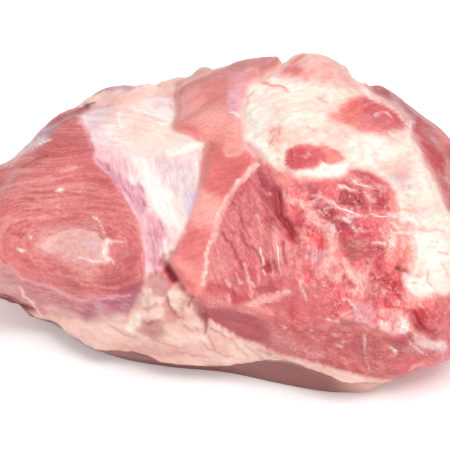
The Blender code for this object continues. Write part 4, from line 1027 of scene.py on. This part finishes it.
def fibrePlaces(c, name):
    # places that are squeezed along the fibres, so that any pattern in them is drawn out lengthwise;
    # the fibres bend a little
    du, dv = c.u, c.v
    ragged = name in ("torn", "drape")
    for cell, push, seed in bends.values() if ragged else [bends["all"]]:
        du = du + unevenness(c.points, cell, push, seed)
        dv = dv + unevenness(c.points, cell, push, seed + 1)
    if name == "shank":  # round the middle of the muscle, twice as wide as high
        du, dv = (du - shankCentre[0]) / 2, dv - shankCentre[1]
        angle, radius = np.arctan2(dv, du), np.hypot(du, dv)
        return np.stack([shankRing * np.cos(angle), shankRing * np.sin(angle), radius], -1)
    a, b = fibreWay[name]
    layer = np.full(du.shape, layerGap * sum(map(ord, name)))
    return np.stack([fibreStretch * (du * a + dv * b), layer, dv * a - du * b], -1)


def fibreDirection(c, name):
    if name != "shank":
        return np.broadcast_to(fibreWay[name], c.u.shape + (2,))
    way = np.stack([-2 * (c.v - shankCentre[1]), (c.u - shankCentre[0]) / 2], -1)
    return way / np.maximum(np.linalg.norm(way, axis=-1, keepdims=True), 1e-6)


class Finish:
    # what the surface is made of at every vertex, laid on in layers
    def __init__(self, c):
        self.chart = c
        self.way = np.array(fibreDirection(c, "back"))
        self.tone = np.broadcast_to(linear(tones["back"]), c.points.shape).copy()
        self.share = {name: np.zeros(c.u.shape) for name in ("lean", "fat", "film", "torn")}
        self.share["lean"] += 1
        self.fibres = fibrePlaces(c, "back")

    def steady(self):
        # 0 at the vertices where the fibres jump from one way to another and next to them, else 1
        layer, least = self.fibres[..., 1], 20
        jump = np.abs(layer - np.roll(layer, 1, 0)) > least
        jump |= np.roll(jump, -1, 0)
        across = np.abs(np.diff(layer, axis=1)) > least
        jump[:, 1:] |= across
        jump[:, :-1] |= across
        wide = jump | np.roll(jump, 1, 0) | np.roll(jump, -1, 0)
        wide[:, 1:] |= jump[:, :-1]
        wide[:, :-1] |= jump[:, 1:]
        return 1.0 - wide

    def placesOf(self, name):
        # lean meat and film are patterned along their fibres, fat and torn meat are not
        return self.fibres if name in ("lean", "film") else self.chart.points

    def tint(self, mask, tone):
        mask = np.clip(mask, 0, 1)[..., None]
        self.tone = self.tone * (1 - mask) + linear(tones[tone]) * mask

    def lay(self, mask, tone, way=None, **share):
        self.tint(mask, tone)
        mask = np.clip(mask, 0, 1)
        for name, old in self.share.items():
            self.share[name] = old * (1 - mask) + share.get(name, 0) * mask
        if way:
            taken = mask > 0.5
            self.fibres[taken] = fibrePlaces(self.chart, way)[taken]
            self.way[taken] = fibreDirection(self.chart, way)[taken]


def patches(places, cell, cover, seed, softness=0.8):
    # 0 to 1 in soft random patches, fewer with a higher cover
    return smoothStep(unevenness(places, cell, 1.0, seed) - cover, softness)


# Thin white strands of tissue that lie on the meat: points on the drawing plane, thickness in mm.
strands = dict(
    shankVeinDown=([(-70, -10.5), (-72.4, -14), (-72.6, -18), (-71, -21.5)], 1.5),
    cutLong=([(66, 11.6), (69, 10), (72, 9.2), (77, 7.2), (82, 5)], 1.3),
    cutLongRight=([(84, 5.6), (88, 6.4), (92, 5), (97, 5.2), (102, 5.4), (106, 4)], 1.0),
    hoodEdge=([(75.5, 28.3), (78.4, 25.8), (80.5, 24), (84, 23.2), (88.5, 23.2)], 1.2),
    cutShortB=([(30.6, -8), (31.6, -15), (32.4, -22), (33, -27)], 0.9),
)

# Lobes and hollows of the torn and cut meat: rise, reach, outline or the name of one.
lobes = [
    (2.4, 2.5, "hood"), (1.8, 4, "salmonRidge"), (-1.8, 4, "brownHollow"), (1.8, 5, "drapes"),
    (-1.8, 3, "darkStreak"), (1.0, 4, "paleTissue"), (0.8, 3, "whiteWedge"), (0.7, 4, "creamTip"),
    (-2.4, 3, [(68, 20), (78, 20), (86, 20), (94, 18), (94, 10), (84, 9), (74, 10), (67, 12)]),
    (-2.0, 3, [(60, 9), (68, 8), (76, 5), (82, 2), (80, -4), (70, -4), (62, 0)]),
    (1.6, 3, [(84, 5), (98, 4), (100, -6), (90, -9), (82, -6)]),
    (1.4, 3, [(102, -6), (109, -6), (112, -12), (112, -18), (103, -17)]),
    (-1.0, 3, [(88, -13), (96, -14), (96, -23), (90, -26)]),
    (1.2, 2, [(13, -47), (20, -44), (28, -41), (37, -38), (39, -41), (30, -45), (20, -48.5)]),
    (1.6, 2, [(-36, -41), (-31, -34), (-28, -33), (-27, -39), (-22, -43), (-23, -48), (-27, -53),
        (-33, -50)]),
    (1.6, 2, [(-49, -39), (-43, -41), (-36, -43), (-34, -48), (-36, -56), (-44, -60), (-55, -62),
        (-54, -50)]),
    (1.4, 2, [(-25, -57), (-18, -56), (-12, -60), (-18, -65), (-26, -63)]),
    (1.2, 1.5, [(-10, -57), (-4, -59), (5, -65), (4, -67.5), (-6, -63), (-10, -60)]),
    (-1.4, 2, [(-46, -27), (-37, -25), (-32, -34), (-34, -41), (-46, -36)]),
    (1.0, 2, [(113, -52), (122, -50), (126, -58), (119, -61)]),
]


# Level fingers of fat reach into the torn meat at the right, and one film overlaps the other.
fingers = dict(centre=(106, 0), size=(12, 20), turn=0)
fingerBumps = dict(cell=2.4, depth=4.0, seed=71)
overlapLevel = 46.0
overlapBumps = dict(cell=7.0, depth=4.0, seed=72)


def materialsOf(c):
    # each finish is laid over the last inside its outline, softly or with a ragged edge
    near, ragged = c.near, c.ragged
    rough = c.ru - c.u
    f = Finish(c)
    f.lay(smoothStep(-c.over + 4, 14), "cut", "cut", lean=1)
    f.lay(dome(near("torn"), 5), "torn", "torn", lean=0.5, torn=1)
    f.lay(smoothStep(near("torn"), 4) * smoothStep(-8 - c.v, 6), "torn", "drape", lean=0.7, torn=0.7)
    f.lay(smoothStep(ragged("lowerFace"), 3), "lower", "lower", lean=0.6, torn=0.4)
    f.lay(smoothStep(near("smoothFace"), 3), "lowerPurple", "lower", lean=0.6)
    atRight = spot(u=c.u, v=c.v, **fingers)
    reach = atRight * unevenness(np.stack([0.2 * c.u, c.v], -1), **fingerBumps)
    f.lay(smoothStep(ragged("fatCap") + reach, 1.2 + 6 * atRight), "fat", "cap", fat=1)
    f.lay(0.6 * smoothStep(ragged("redPatchHigh") + 3, 12), "patchOrange", "cap", lean=0.4)
    f.lay(smoothStep(ragged("redPatchHigh"), 7), "patch", "cap", lean=0.9, torn=0.2)
    f.lay(smoothStep(ragged("redPatchLow"), 3), "patch", "cap", lean=0.6, torn=0.4)
    f.lay(smoothStep(ragged("whiteWedge"), 1.6), "fatWhite", "cap", fat=1)
    f.lay(c.beyond(0, 2, 10), "far", "far", lean=1)
    f.lay(smoothStep(ragged("ridgeFat"), 2.5), "fatPink", "cap", fat=0.8, lean=0.1)
    film = smoothStep(near("silverskin"), 2)
    f.lay(film, "film", "filmLow", film=1)
    overlap = c.v - overlapLevel + unevenness(c.points, **overlapBumps)
    f.lay(film * smoothStep(overlap, 5), "film", "filmHigh", film=1)
    f.lay(smoothStep(near("leftFat"), 2) * c.front, "rimPink", "rim", fat=0.6, film=0.4)
    f.lay(smoothStep(near("shank"), 1.6), "shank", "shank", lean=1)
    f.lay(0.7 * smoothStep(ragged("shankPatch") + 2, 9), "palePatch", lean=0.15, film=0.7)
    band = smoothStep(near("purpleBand"), 6)
    f.lay(band, "rimShade", "lower", lean=0.3, film=0.5)
    f.tint(band * smoothStep(c.u + 84, 24), "purple")
    f.lay(smoothStep(c.belowRim + 0.5 * rough, 1.4) * c.front, "rim", "rim", fat=1)
    f.lay(smoothStep(ragged("bottomLumps"), 2), "rim", "rim", fat=1)
    f.lay(smoothStep(near("strap"), 1.0), "strap", "strap", lean=0.5)
    f.lay(smoothStep(near("flap"), 2), "flap", "flap", lean=0.55)
    f.lay(0.95 * smoothStep(ragged("creamTip"), 2), "fatWhite", "cap", fat=1)
    f.lay(smoothStep(ragged("redLump"), 3), "patch", "torn", lean=0.8, torn=0.6)
    onBack = smoothStep(c.over - 14, 12)
    f.lay(onBack * smoothStep(c.backFat + 2 * rough, 4), "fat", "cap", fat=1)
    f.lay(onBack * smoothStep(c.upBack + 2 * rough, 4), "rimPale", "rim", fat=1)
    # the underside: brownish skin with painted shade where it meets the floor
    f.lay(c.slab(), "under", "rim", fat=0.5)
    return f


# Random patches within each finish: finish, tone, strength, size across in mm, cover, seed.
scattered = [
    ("lean", "shankRed", 0.4, 3.4, 0.5, 51), ("lean", "shankPale", 0.35, 2.6, 0.7, 52),
    ("torn", "tornDark", 0.5, 6.0, 0.7, 55), ("torn", "tornPale", 0.45, 4.0, 0.8, 56),
    ("fat", "fatPink", 0.6, 14.0, 0.7, 57), ("film", "filmPink", 0.35, 3.0, 0.6, 59),
]


def paintMarks(c, f):
    # random patches within each finish, then the marks that are seen at their places
    for name, tone, strength, cell, cover, seed in scattered:
        f.tint(strength * f.share[name] * patches(f.placesOf(name), cell, cover, seed), tone)
    front = c.front > 0.5
    for tone, strength, softness, outline in seen:
        outline = outlines[outline] if isinstance(outline, str) else outline
        inside = region(outline, c.ru, c.rv, reach=0.7 * softness)
        f.tint(strength * front * smoothStep(inside, 1.2 * softness), tone)
    for tone, strength, width, path in strokes:
        distance = line(path, c.lineU, c.lineV, 4 * width)
        f.tint(strength * front * np.exp(-(2 * distance / (width + 0.5)) ** 2), tone)
    for tone, strength, width, centres in dots:
        for centre in centres:
            f.tint(strength * front * spot(centre, (0.7 * width,) * 2, 0, c.u, c.v), tone)
    for path, thickness in strands.values():
        distance = line(path, c.u, c.v, 8)
        f.tint(0.4 * front * np.exp(-(distance / (0.8 + thickness)) ** 2), "tornPale")
    for name, tone, offset, width, strength in borders:
        distance = np.abs(c.near(name) - offset)
        f.tint(strength * front * np.exp(-(distance / width) ** 2), tone)
    # the underside once more over all marks: brownish skin with painted shade near the floor, lighter
    # towards the cut end as that painted shade fades
    f.tint(c.slab(), "under")
    f.tint(c.slab() * smoothStep(c.u - 74, 30), "underPale")


# Fine bumps and sharp crests of each finish: finish, rise, size across in mm, seed.
fineBumps = [("lean", 0.14, 2.6, 61), ("lean", 0.1, 1.7, 62), ("film", 0.1, 2.2, 63),
             ("fat", 0.3, 6.0, 64), ("fat", 0.14, 3.0, 65)]
tornCrests = [(0.45, 8.0, 66), (0.35, 4.0, 67)]
tornCrumbs = dict(depth=0.15, cell=2.2, seed=68)
# How deep a painted mark of each tone is cut in, as a share of its width.
markDepth = dict(tornDark=0.8, line=0.8, slitShade=0.8, deepRed=0.8, cutDark=0.2, shankDark=0.2)
pit = dict(centre=(104.3, -26.2), size=(2.2, 1.6), turn=-10)
pitDepth = 2.0


def fineRelief(c, f):
    # what is finer than the solid's own relief: lobes, fibres, tears, brushed fat and creased film;
    # the tears are also returned alone, because the torn meat is painted darker in their hollows: its
    # own deeper red, with painted shade
    height = np.zeros(c.u.shape)
    for rise, reach, outline in lobes:
        inside = c.near(outline) if isinstance(outline, str) else region(outline, c.ru, c.rv, 12)
        height += rise * dome(inside, reach) * c.front
    for name, rise, cell, seed in fineBumps:
        height += f.share[name] * unevenness(f.placesOf(name), cell, rise, seed)
    torn = unevenness(c.points, **tornCrumbs)
    for rise, cell, seed in tornCrests:
        torn += rise * crests(c.points, cell, seed)
    torn *= f.share["torn"]
    marks = -pitDepth * spot(u=c.u, v=c.v, **pit)
    for tone, _, width, path in strokes:
        if tone in markDepth:
            marks += groove(path, width, markDepth[tone] * width, c.u, c.v)
    return height + torn + marks * c.front, torn


def raisedBy(c, height):
    points = base + outward(base) * keepFlat(c, height)[..., None]
    points[..., 2] = np.maximum(points[..., 2], 0)
    return points


rounds = 3
# dark is the strength of the painted shade in the hollows of the tears, pale that of their paler
# crests
weaving = dict(push=0.35, tornPush=0.8, dark=0.5, pale=0.4)

base = bodySections(columnPlaces())
chart = Chart(base, base)
body = relief(chart)
for _ in range(rounds):
    # the relief moves what is seen where, so it is worked out again on the raised surface
    chart = Chart(base, raisedBy(chart, body))
    body = (body + relief(chart)) / 2
fine, tears = fineRelief(chart, materialsOf(chart))
raised = raisedBy(chart, body + fine)
chart = Chart(base, raised)
print("chart ready")
finish = materialsOf(chart)
painted = []
for side in (-1, 1):
    # painted twice, pushed both ways along the fibres: the material weaves the two together
    torn = finish.share["torn"]
    reach = side * (weaving["push"] + weaving["tornPush"] * torn)
    pushed = Chart(base, raised, reach * np.moveaxis(finish.way, -1, 0))
    coat = materialsOf(pushed)
    paintMarks(pushed, coat)
    # darker in the hollows of the tears: the meat's deeper red with painted shade; paler on their
    # crests, like pale tissue
    coat.tint(weaving["dark"] * smoothStep(-tears - 0.4, 0.7) * torn, "tornDark")
    coat.tint(weaving["pale"] * smoothStep(tears - 0.4, 0.5) * torn, "tornPale")
    painted.append(coat.tone)
low, high = raised.min((0, 1)), raised.max((0, 1))
cadMiddle = (np.array(cadLow) + np.array(cadHigh)) / 2 / mm
shift = np.array([cadMiddle[0] - (low[0] + high[0]) / 2, cadMiddle[1] - (low[1] + high[1]) / 2, 0])
print("body raised, moved by", shift.round(2))


def gridArrays(points, first=0):
    # quads between the columns and a fan of triangles to a point at each end, all facing outwards
    rows, columns = points.shape[:2]
    inner = columns - 2
    index = first + np.arange(rows * inner).reshape(rows, inner)
    following = np.roll(index, -1, 0)
    quads = np.stack([index[:, :-1], following[:, :-1], following[:, 1:], index[:, 1:]], -1)
    pole = np.full(rows, first + rows * inner)
    startFan = np.stack([pole, following[:, 0], index[:, 0]], -1)
    endFan = np.stack([pole + 1, index[:, -1], following[:, -1]], -1)
    places = np.concatenate([points[:, 1:-1].reshape(-1, 3), [points[:, 0].mean(0)],
                             [points[:, -1].mean(0)]])
    loops = np.concatenate([quads.ravel(), startFan.ravel(), endFan.ravel()])
    sizes = np.concatenate([np.full(quads.size // 4, 4), np.full(2 * rows, 3)])
    return places, loops, sizes


def solidMesh(name, places, loops, sizes):
    mesh = bpy.data.meshes.new(name)
    mesh.vertices.add(len(places))
    mesh.vertices.foreach_set("co", (places * mm).astype(np.float32).ravel())
    mesh.loops.add(len(loops))
    mesh.loops.foreach_set("vertex_index", loops.astype(np.int32))
    mesh.polygons.add(len(sizes))
    mesh.polygons.foreach_set("loop_start", (np.cumsum(sizes) - sizes).astype(np.int32))
    mesh.update(calc_edges=True)
    mesh.validate()
    mesh.shade_smooth()
    piece = bpy.data.objects.new(name, mesh)
    bpy.context.scene.collection.objects.link(piece)
    return piece


def perVertex(values):
    # grid values in the order of gridArrays' vertices
    flat = values[:, 1:-1].reshape((-1,) + values.shape[2:])
    return np.concatenate([flat, values[:1, 0], values[:1, -1]])


def keepOnMesh(piece, name, values):
    # a number or a vector for each vertex, for the material to read
    kind, field = ("FLOAT", "value") if values.ndim == 2 else ("FLOAT_VECTOR", "vector")
    attribute = piece.data.attributes.new(name, kind, "POINT")
    attribute.data.foreach_set(field, perVertex(values).astype(np.float32).ravel())


meat = solidMesh("meat", *gridArrays(raised + shift))
keepOnMesh(meat, "tone", painted[0])
keepOnMesh(meat, "otherTone", painted[1])
keepOnMesh(meat, "fibres", finish.fibres)
for shareName, values in finish.share.items():
    keepOnMesh(meat, shareName, values)
keepOnMesh(meat, "steady", finish.steady())
print("meat painted")


strandMake = dict(
    sides=8,
    step=0.8,         # between its rings, in mm
    wander=0.1,
    radius=0.42,      # shares of the thickness from here on
    flatness=0.7,
    unevenness=0.25,
    evenOut=0.7,      # how wide a patch of the meat gives it its place, in mm
    search=4.0,       # how far round it that patch is looked for, in mm
)


def ontoMeat(path):
    # the surface and its outward direction at places on the drawing plane: a mean of the vertices
    # round each, weighted by a bell curve of their distance
    inSight = (chart.over < 0) & (chart.z > 12)
    places = np.stack([chart.u[inSight], chart.v[inSight]], -1)
    search = strandMake["search"]
    close = ((places > path.min(0) - search) & (places < path.max(0) + search)).all(1)
    gap = np.linalg.norm(path[:, None] - places[close], axis=-1)
    weight = np.exp(-(gap / strandMake["evenOut"]) ** 2) + 1e-12
    weight /= weight.sum(1, keepdims=True)
    normal = weight @ outward(raised)[inSight][close]
    return weight @ raised[inSight][close], normal / np.linalg.norm(normal, axis=1, keepdims=True)


def strandGrid(path, thickness):
    # a tube that thins to a point at both ends, flattened and half sunk into the surface
    curve = roundOff(path, closed=False, pieces=4)
    run = np.concatenate([[0], np.cumsum(np.hypot(*np.diff(curve, axis=0).T))])
    even = np.linspace(0, run[-1], max(8, int(run[-1] / strandMake["step"])))
    curve = np.stack([np.interp(even, run, curve[:, 0]), np.interp(even, run, curve[:, 1])], -1)
    curve += strandMake["wander"] * np.stack([np.sin(even * 1.3), np.cos(even * 1.7)], -1)
    centre, normal = ontoMeat(curve)
    way = np.gradient(centre, axis=0)
    way /= np.linalg.norm(way, axis=1, keepdims=True)
    side = np.cross(normal, way)
    radius = strandMake["radius"] * thickness * np.sin(np.linspace(0, math.pi, len(even))) ** 0.7
    radius = radius * (1 + strandMake["unevenness"] * np.sin(even * 0.9 + thickness * 9))
    turn = np.linspace(0, 2 * math.pi, strandMake["sides"], endpoint=False)[:, None, None]
    ring = np.cos(turn) * side + strandMake["flatness"] * np.sin(turn) * normal
    return centre + ring * radius[:, None]


def strandPiece():
    places, loops, sizes, count = [], [], [], 0
    for path, thickness in strands.values():
        grid = gridArrays(strandGrid(path, thickness) + shift, count)
        count += len(grid[0])
        for part, kept in zip(grid, (places, loops, sizes)):
            kept.append(part)
    return solidMesh("white_strands", *(np.concatenate(part) for part in (places, loops, sizes)))


whiteStrands = strandPiece()
print("strands laid")


class Nodes:
    # a short way to write a material's node tree
    def __init__(self, name):
        self.material = bpy.data.materials.new(name)
        self.material.use_nodes = True
        self.tree = self.material.node_tree
        self.shader = self.tree.nodes["Principled BSDF"]

    def add(self, kind, **values):
        node = self.tree.nodes.new("ShaderNode" + kind)
        for key, value in values.items():
            setattr(node, key, value)
        return node

    def put(self, socket, value):
        if isinstance(value, bpy.types.NodeSocket):
            self.tree.links.new(value, socket)
        else:
            socket.default_value = value

    def wired(self, node, output, *values):
        for socket, value in zip(node.inputs, values):
            if value is not None:
                self.put(socket, value)
        return node.outputs[output]

    def attribute(self, name, output="Fac"):
        return self.add("Attribute", attribute_name=name).outputs[output]

    def number(self, operation, *values):
        return self.wired(self.add("Math", operation=operation), 0, *values)

    def vector(self, operation, *values):
        return self.wired(self.add("VectorMath", operation=operation), 0, *values)

    def scaled(self, place, scale):
        node = self.add("VectorMath", operation="SCALE")
        self.put(node.inputs["Scale"], scale)
        return self.wired(node, 0, place)

    def noise(self, place, scale, detail, roughness):
        return self.wired(self.add("TexNoise"), "Fac", place, None, scale, detail, roughness)

    def ramp(self, value, low, high):
        node = self.add("MapRange", interpolation_type="SMOOTHSTEP")
        return self.wired(node, 0, value, low, high)

    def blend(self, share, first, second):
        node = self.add("Mix", data_type="VECTOR", clamp_factor=True)
        for socket, value in zip((node.inputs[0], node.inputs[4], node.inputs[5]),
                                 (share, first, second)):
            self.put(socket, value)
        return node.outputs[1]


# Patterns drawn out along the fibres: squeeze along them, shift, scale, detail, roughness.
grains = dict(
    weave=(1.0, (7, 0, 0), 0.9, 3.0, 0.6),
    broadStreaks=(1.0, (0, 0, 0), 0.45, 4.0, 0.6),
    fineStreaks=(1.8, (0, 0, 0), 0.95, 4.0, 0.7),
    strokes=(2.2, (0, 31, 0), 0.8, 2.0, 0.5),
    shreds=(3.5, (0, 0, 0), 0.36, 5.0, 0.62),
    folds=(2.0, (0, 0, 0), 0.35, 4.0, 0.65),
    threads=(2.5, (0, 0, 0), 0.4, 6.0, 0.7),
)
# Patterns that run no one way: shift, scale, detail, roughness.
blotches = dict(
    mottle=((0, 0, 0), 0.5, 4.0, 0.7),
    strokePlaces=((0, 0, 0), 0.1, 2.0, 0.5),
    crumbs=((0, 0, 0), 0.5, 5.0, 0.7),
    web=((0, 0, 0), 0.2, 4.0, 0.6),
    webPlaces=((0, 0, 0), 0.07, 3.0, 0.5),
    glints=((0, 0, 50), 0.95, 2.0, 0.5),
    fat=((0, 0, 0), 0.22, 5.0, 0.65),
)
# Where a pattern starts to show and where it shows in full.
ramps = dict(weave=(0.38, 0.62), strokePlaces=(0.4, 0.62), darkStrokes=(0.58, 0.68),
             paleStrokes=(0.36, 0.28), web=(0.03, 0.004), webPlaces=(0.46, 0.58),
             glints=(0.67, 0.7), gloss=(0.3, 0.7))
# How a pattern shades a finish: its ramp, and the factors of red, green and blue where it is low
# and where it is high.
shades = dict(
    lean=((0.4, 0.6), (0.87, 0.69, 0.7), (1.04, 1.16, 1.15)),
    mottle=((0.4, 0.6), (0.94, 0.84, 0.85), (1.04, 1.12, 1.12)),
    torn=((0.43, 0.57), (0.88, 0.6, 0.63), (1.05, 1.22, 1.21)),
    fat=((0.38, 0.62), (0.98, 0.875, 0.85), (1.0, 1.03, 1.03)),
    folds=((0.4, 0.6), (0.975, 0.9, 0.88), (1.0, 1.015, 1.01)),
    film=((0.42, 0.58), (0.965, 0.87, 0.9), (1.02, 1.05, 1.04)),
)
# Marks laid over the finishes: strength, and a colour in linear light.
overlays = dict(
    paleStrokes=(0.4, (0.9, 0.56, 0.5)),
    web=(0.5, (0.94, 0.7, 0.64)),
    glints=(0.45, (0.97, 0.84, 0.8)),
)
meatLook = dict(
    broadShare=0.4,       # of broad streaks among fine ones
    darkStrokes=0.5,
    darkStrokeTone=(0.74, 0.5, 0.52),
    crumbShare=0.35,      # of crumbs among shreds
    tornShare=0.9,
    streakShare=0.4,      # of streaks among threads in the film
    filmPale=0.3,
    filmPaleTone=(0.96, 0.88, 0.86),
    roughness=0.44,
    filmSmoother=0.1,
    crumbsRougher=0.1,
    subsurface=0.12,
    subsurfaceRadius=(1.0, 0.35, 0.25),
    subsurfaceScale=0.0015,
    coat=0.22,
    coatRoughness=0.15,
    bump=dict(lean=0.9, film=0.4, fat=0.5, folds=0.25, torn=1.3),  # in mm
)


def rawMeat():
    # the two painted tones woven together, then broken up by fibres in the lean, soft blotches in
    # the fat, fine threads in the film, and crumbs and glints where the meat is torn
    n = Nodes("raw_meat_surface")
    look = meatLook
    fibres, steady = n.attribute("fibres", "Vector"), n.attribute("steady")
    lean, fat, film, torn = (n.attribute(name) for name in ("lean", "fat", "film", "torn"))
    place = n.scaled(n.add("TexCoord").outputs["Object"], 1 / mm)

    def product(first, *others):
        for other in others:
            first = n.number("MULTIPLY", first, other)
        return first

    def mixed(first, second, share):
        return n.number("ADD", product(first, share), product(second, 1 - share))

    def grain(name):
        # a noise in the places of the fibres, level where they change their way
        squeeze, shift, *pattern = grains[name]
        at = n.vector("ADD", n.vector("MULTIPLY", fibres, (squeeze, 1, 1)), shift)
        value = n.number("SUBTRACT", n.noise(at, *pattern), 0.5)
        return n.number("ADD", product(value, steady), 0.5)

    def blotch(name):
        shift, *pattern = blotches[name]
        return n.noise(n.vector("ADD", place, shift), *pattern)

    def shaded(colour, name, pattern, paler=lambda pale: pale):
        ramp, dark, pale = shades[name]
        return n.blend(n.ramp(pattern, *ramp), n.vector("MULTIPLY", colour, dark),
                       paler(n.vector("MULTIPLY", colour, pale)))

    def overlaid(colour, name, *shares):
        strength, tone = overlays[name]
        return n.blend(product(*shares, strength), colour, tone)

    colour = n.blend(n.ramp(grain("weave"), *ramps["weave"]), n.attribute("tone", "Vector"),
                     n.attribute("otherTone", "Vector"))
    # lean: broad and fine streaks along the fibres
    streaks = mixed(grain("broadStreaks"), grain("fineStreaks"), look["broadShare"])
    fleshy = shaded(shaded(colour, "lean", streaks), "mottle", blotch("mottle"))
    colour = n.blend(lean, colour, fleshy)
    # short thin strokes: dark where a noise drawn along the fibres is high, pale where it is low
    stroke = grain("strokes")
    inPlaces = product(n.ramp(blotch("strokePlaces"), *ramps["strokePlaces"]), lean)
    darkShare = product(n.ramp(stroke, *ramps["darkStrokes"]), inPlaces, look["darkStrokes"])
    colour = n.blend(darkShare, colour, n.vector("MULTIPLY", colour, look["darkStrokeTone"]))
    colour = overlaid(colour, "paleStrokes", n.ramp(stroke, *ramps["paleStrokes"]), inPlaces)
    # torn: crumbs, pale threads and small glints
    crumbs = blotch("crumbs")
    crumble = mixed(crumbs, grain("shreds"), look["crumbShare"])
    colour = n.blend(product(torn, look["tornShare"]), colour, shaded(colour, "torn", crumble))
    web = n.number("ABSOLUTE", n.number("SUBTRACT", blotch("web"), 0.5))
    colour = overlaid(colour, "web", n.ramp(web, *ramps["web"]),
                      n.ramp(blotch("webPlaces"), *ramps["webPlaces"]), torn)
    colour = overlaid(colour, "glints", n.ramp(blotch("glints"), *ramps["glints"]), torn)
    # fat: blotches and folds
    folds = grain("folds")
    colour = n.blend(fat, colour, shaded(shaded(colour, "fat", blotch("fat")), "folds", folds))
    # film: fine threads along it and across it
    silk = mixed(streaks, grain("threads"), look["streakShare"])
    filmTone = shaded(colour, "film", silk,
                      lambda pale: n.blend(look["filmPale"], pale, look["filmPaleTone"]))
    n.put(n.shader.inputs["Base Color"], n.blend(film, colour, filmTone))

    depth = look["bump"]
    foldRamp = n.ramp(folds, *shades["folds"][0])
    height = product(lean, streaks, depth["lean"])
    for share, pattern, deep in ((film, streaks, depth["film"]), (fat, crumbs, depth["fat"]),
                                 (fat, foldRamp, depth["folds"]), (torn, crumble, depth["torn"])):
        height = n.number("ADD", height, product(share, pattern, deep))
    bump = n.add("Bump")
    n.put(bump.inputs["Distance"], mm)
    n.put(bump.inputs["Height"], height)
    n.put(n.shader.inputs["Normal"], bump.outputs["Normal"])

    smoother = n.number("SUBTRACT", look["roughness"], product(film, look["filmSmoother"]))
    rougher = product(n.ramp(crumbs, *ramps["gloss"]), look["crumbsRougher"])
    n.put(n.shader.inputs["Roughness"], n.number("ADD", smoother, rougher))
    n.put(n.shader.inputs["Subsurface Weight"], look["subsurface"])
    n.put(n.shader.inputs["Subsurface Radius"], look["subsurfaceRadius"])
    n.put(n.shader.inputs["Subsurface Scale"], look["subsurfaceScale"])
    n.put(n.shader.inputs["Coat Weight"], look["coat"])
    n.put(n.shader.inputs["Coat Roughness"], look["coatRoughness"])
    return n.material


tissueLook = dict(
    pale=(0.95, 0.84, 0.78), pink=(0.9, 0.6, 0.56), patchScale=0.25, ramp=(0.4, 0.65),
    roughness=0.35, subsurface=0.2, subsurfaceScale=0.002,
)


def whiteTissue():
    # pale sinew with pinker stretches
    n = Nodes("white_tissue")
    place = n.scaled(n.add("TexCoord").outputs["Object"], 1 / mm)
    look = tissueLook
    share = n.ramp(n.noise(place, look["patchScale"], 3.0, 0.5), *look["ramp"])
    n.put(n.shader.inputs["Base Color"], n.blend(share, look["pale"], look["pink"]))
    n.put(n.shader.inputs["Roughness"], look["roughness"])
    n.put(n.shader.inputs["Subsurface Weight"], look["subsurface"])
    n.put(n.shader.inputs["Subsurface Scale"], look["subsurfaceScale"])
    return n.material


meat.data.materials.append(rawMeat())
whiteStrands.data.materials.append(whiteTissue())
for piece in (meat, whiteStrands):
    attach(piece, "root")
    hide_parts("shoulder_ham")
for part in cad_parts.values():
    part.data.materials.clear()
    part.data.materials.append(meat.data.materials[0])

# The floor and the soft lights; each light has its place and size in metres and its power.
studio = dict(
    floorSize=8.0,
    floorTone=0.97,
    floorRoughness=0.8,
    floorGlow=0.16,
    worldStrength=0.4,
    lights=dict(
        key_light=((0.5, -0.6, 1.7), 1.1, 20),
        fill_light=((-0.9, -1.5, 0.9), 1.6, 12),
        back_light=((0.3, 2.0, 1.6), 1.6, 16),
    ),
    lightsTowards=(0, 0, 0.05),
)


def makeFloor():
    half = studio["floorSize"] / 2
    mesh = bpy.data.meshes.new("floor")
    mesh.from_pydata([(-half, -half, 0), (half, -half, 0), (half, half, 0), (-half, half, 0)], [],
                     [(0, 1, 2, 3)])
    floor = bpy.data.objects.new("floor", mesh)
    bpy.context.scene.collection.objects.link(floor)
    n = Nodes("pale_floor")
    n.put(n.shader.inputs["Base Color"], (studio["floorTone"],) * 3 + (1,))
    n.put(n.shader.inputs["Roughness"], studio["floorRoughness"])
    n.put(n.shader.inputs["Emission Color"], (1, 1, 1, 1))
    n.put(n.shader.inputs["Emission Strength"], studio["floorGlow"])
    mesh.materials.append(n.material)
    floor.location.z = -0.0005  # just under the meat


def softLight(name, place, size, power):
    light = bpy.data.lights.new(name, "AREA")
    light.shape = "SQUARE"
    light.size = size
    light.energy = power
    lamp = bpy.data.objects.new(name, light)
    lamp.location = place
    away = Vector(place) - Vector(studio["lightsTowards"])
    lamp.rotation_euler = away.to_track_quat("Z", "Y").to_euler()
    bpy.context.scene.collection.objects.link(lamp)


makeFloor()
for lightName, values in studio["lights"].items():
    softLight(lightName, *values)
world = bpy.data.worlds.new("studio")
world.use_nodes = True
background = world.node_tree.nodes["Background"]
background.inputs["Color"].default_value = (1, 1, 1, 1)
background.inputs["Strength"].default_value = studio["worldStrength"]
bpy.context.scene.world = world
bpy.context.scene.view_settings.view_transform = "Standard"

camera = bpy.data.cameras.new("camera")
camera.lens = eye["lens"]
camera.clip_end = 50
cameraObject = bpy.data.objects.new("camera", camera)
toEye = Vector((0, -math.cos(eye["elevation"]), math.sin(eye["elevation"])))
target = Vector((np.array(eye["target"]) + shift) * mm)
cameraObject.location = target + toEye * eye["distance"] * mm
cameraObject.rotation_euler = toEye.to_track_quat("Z", "Y").to_euler()
bpy.context.scene.collection.objects.link(cameraObject)
bpy.context.scene.camera = cameraObject
print("studio ready")
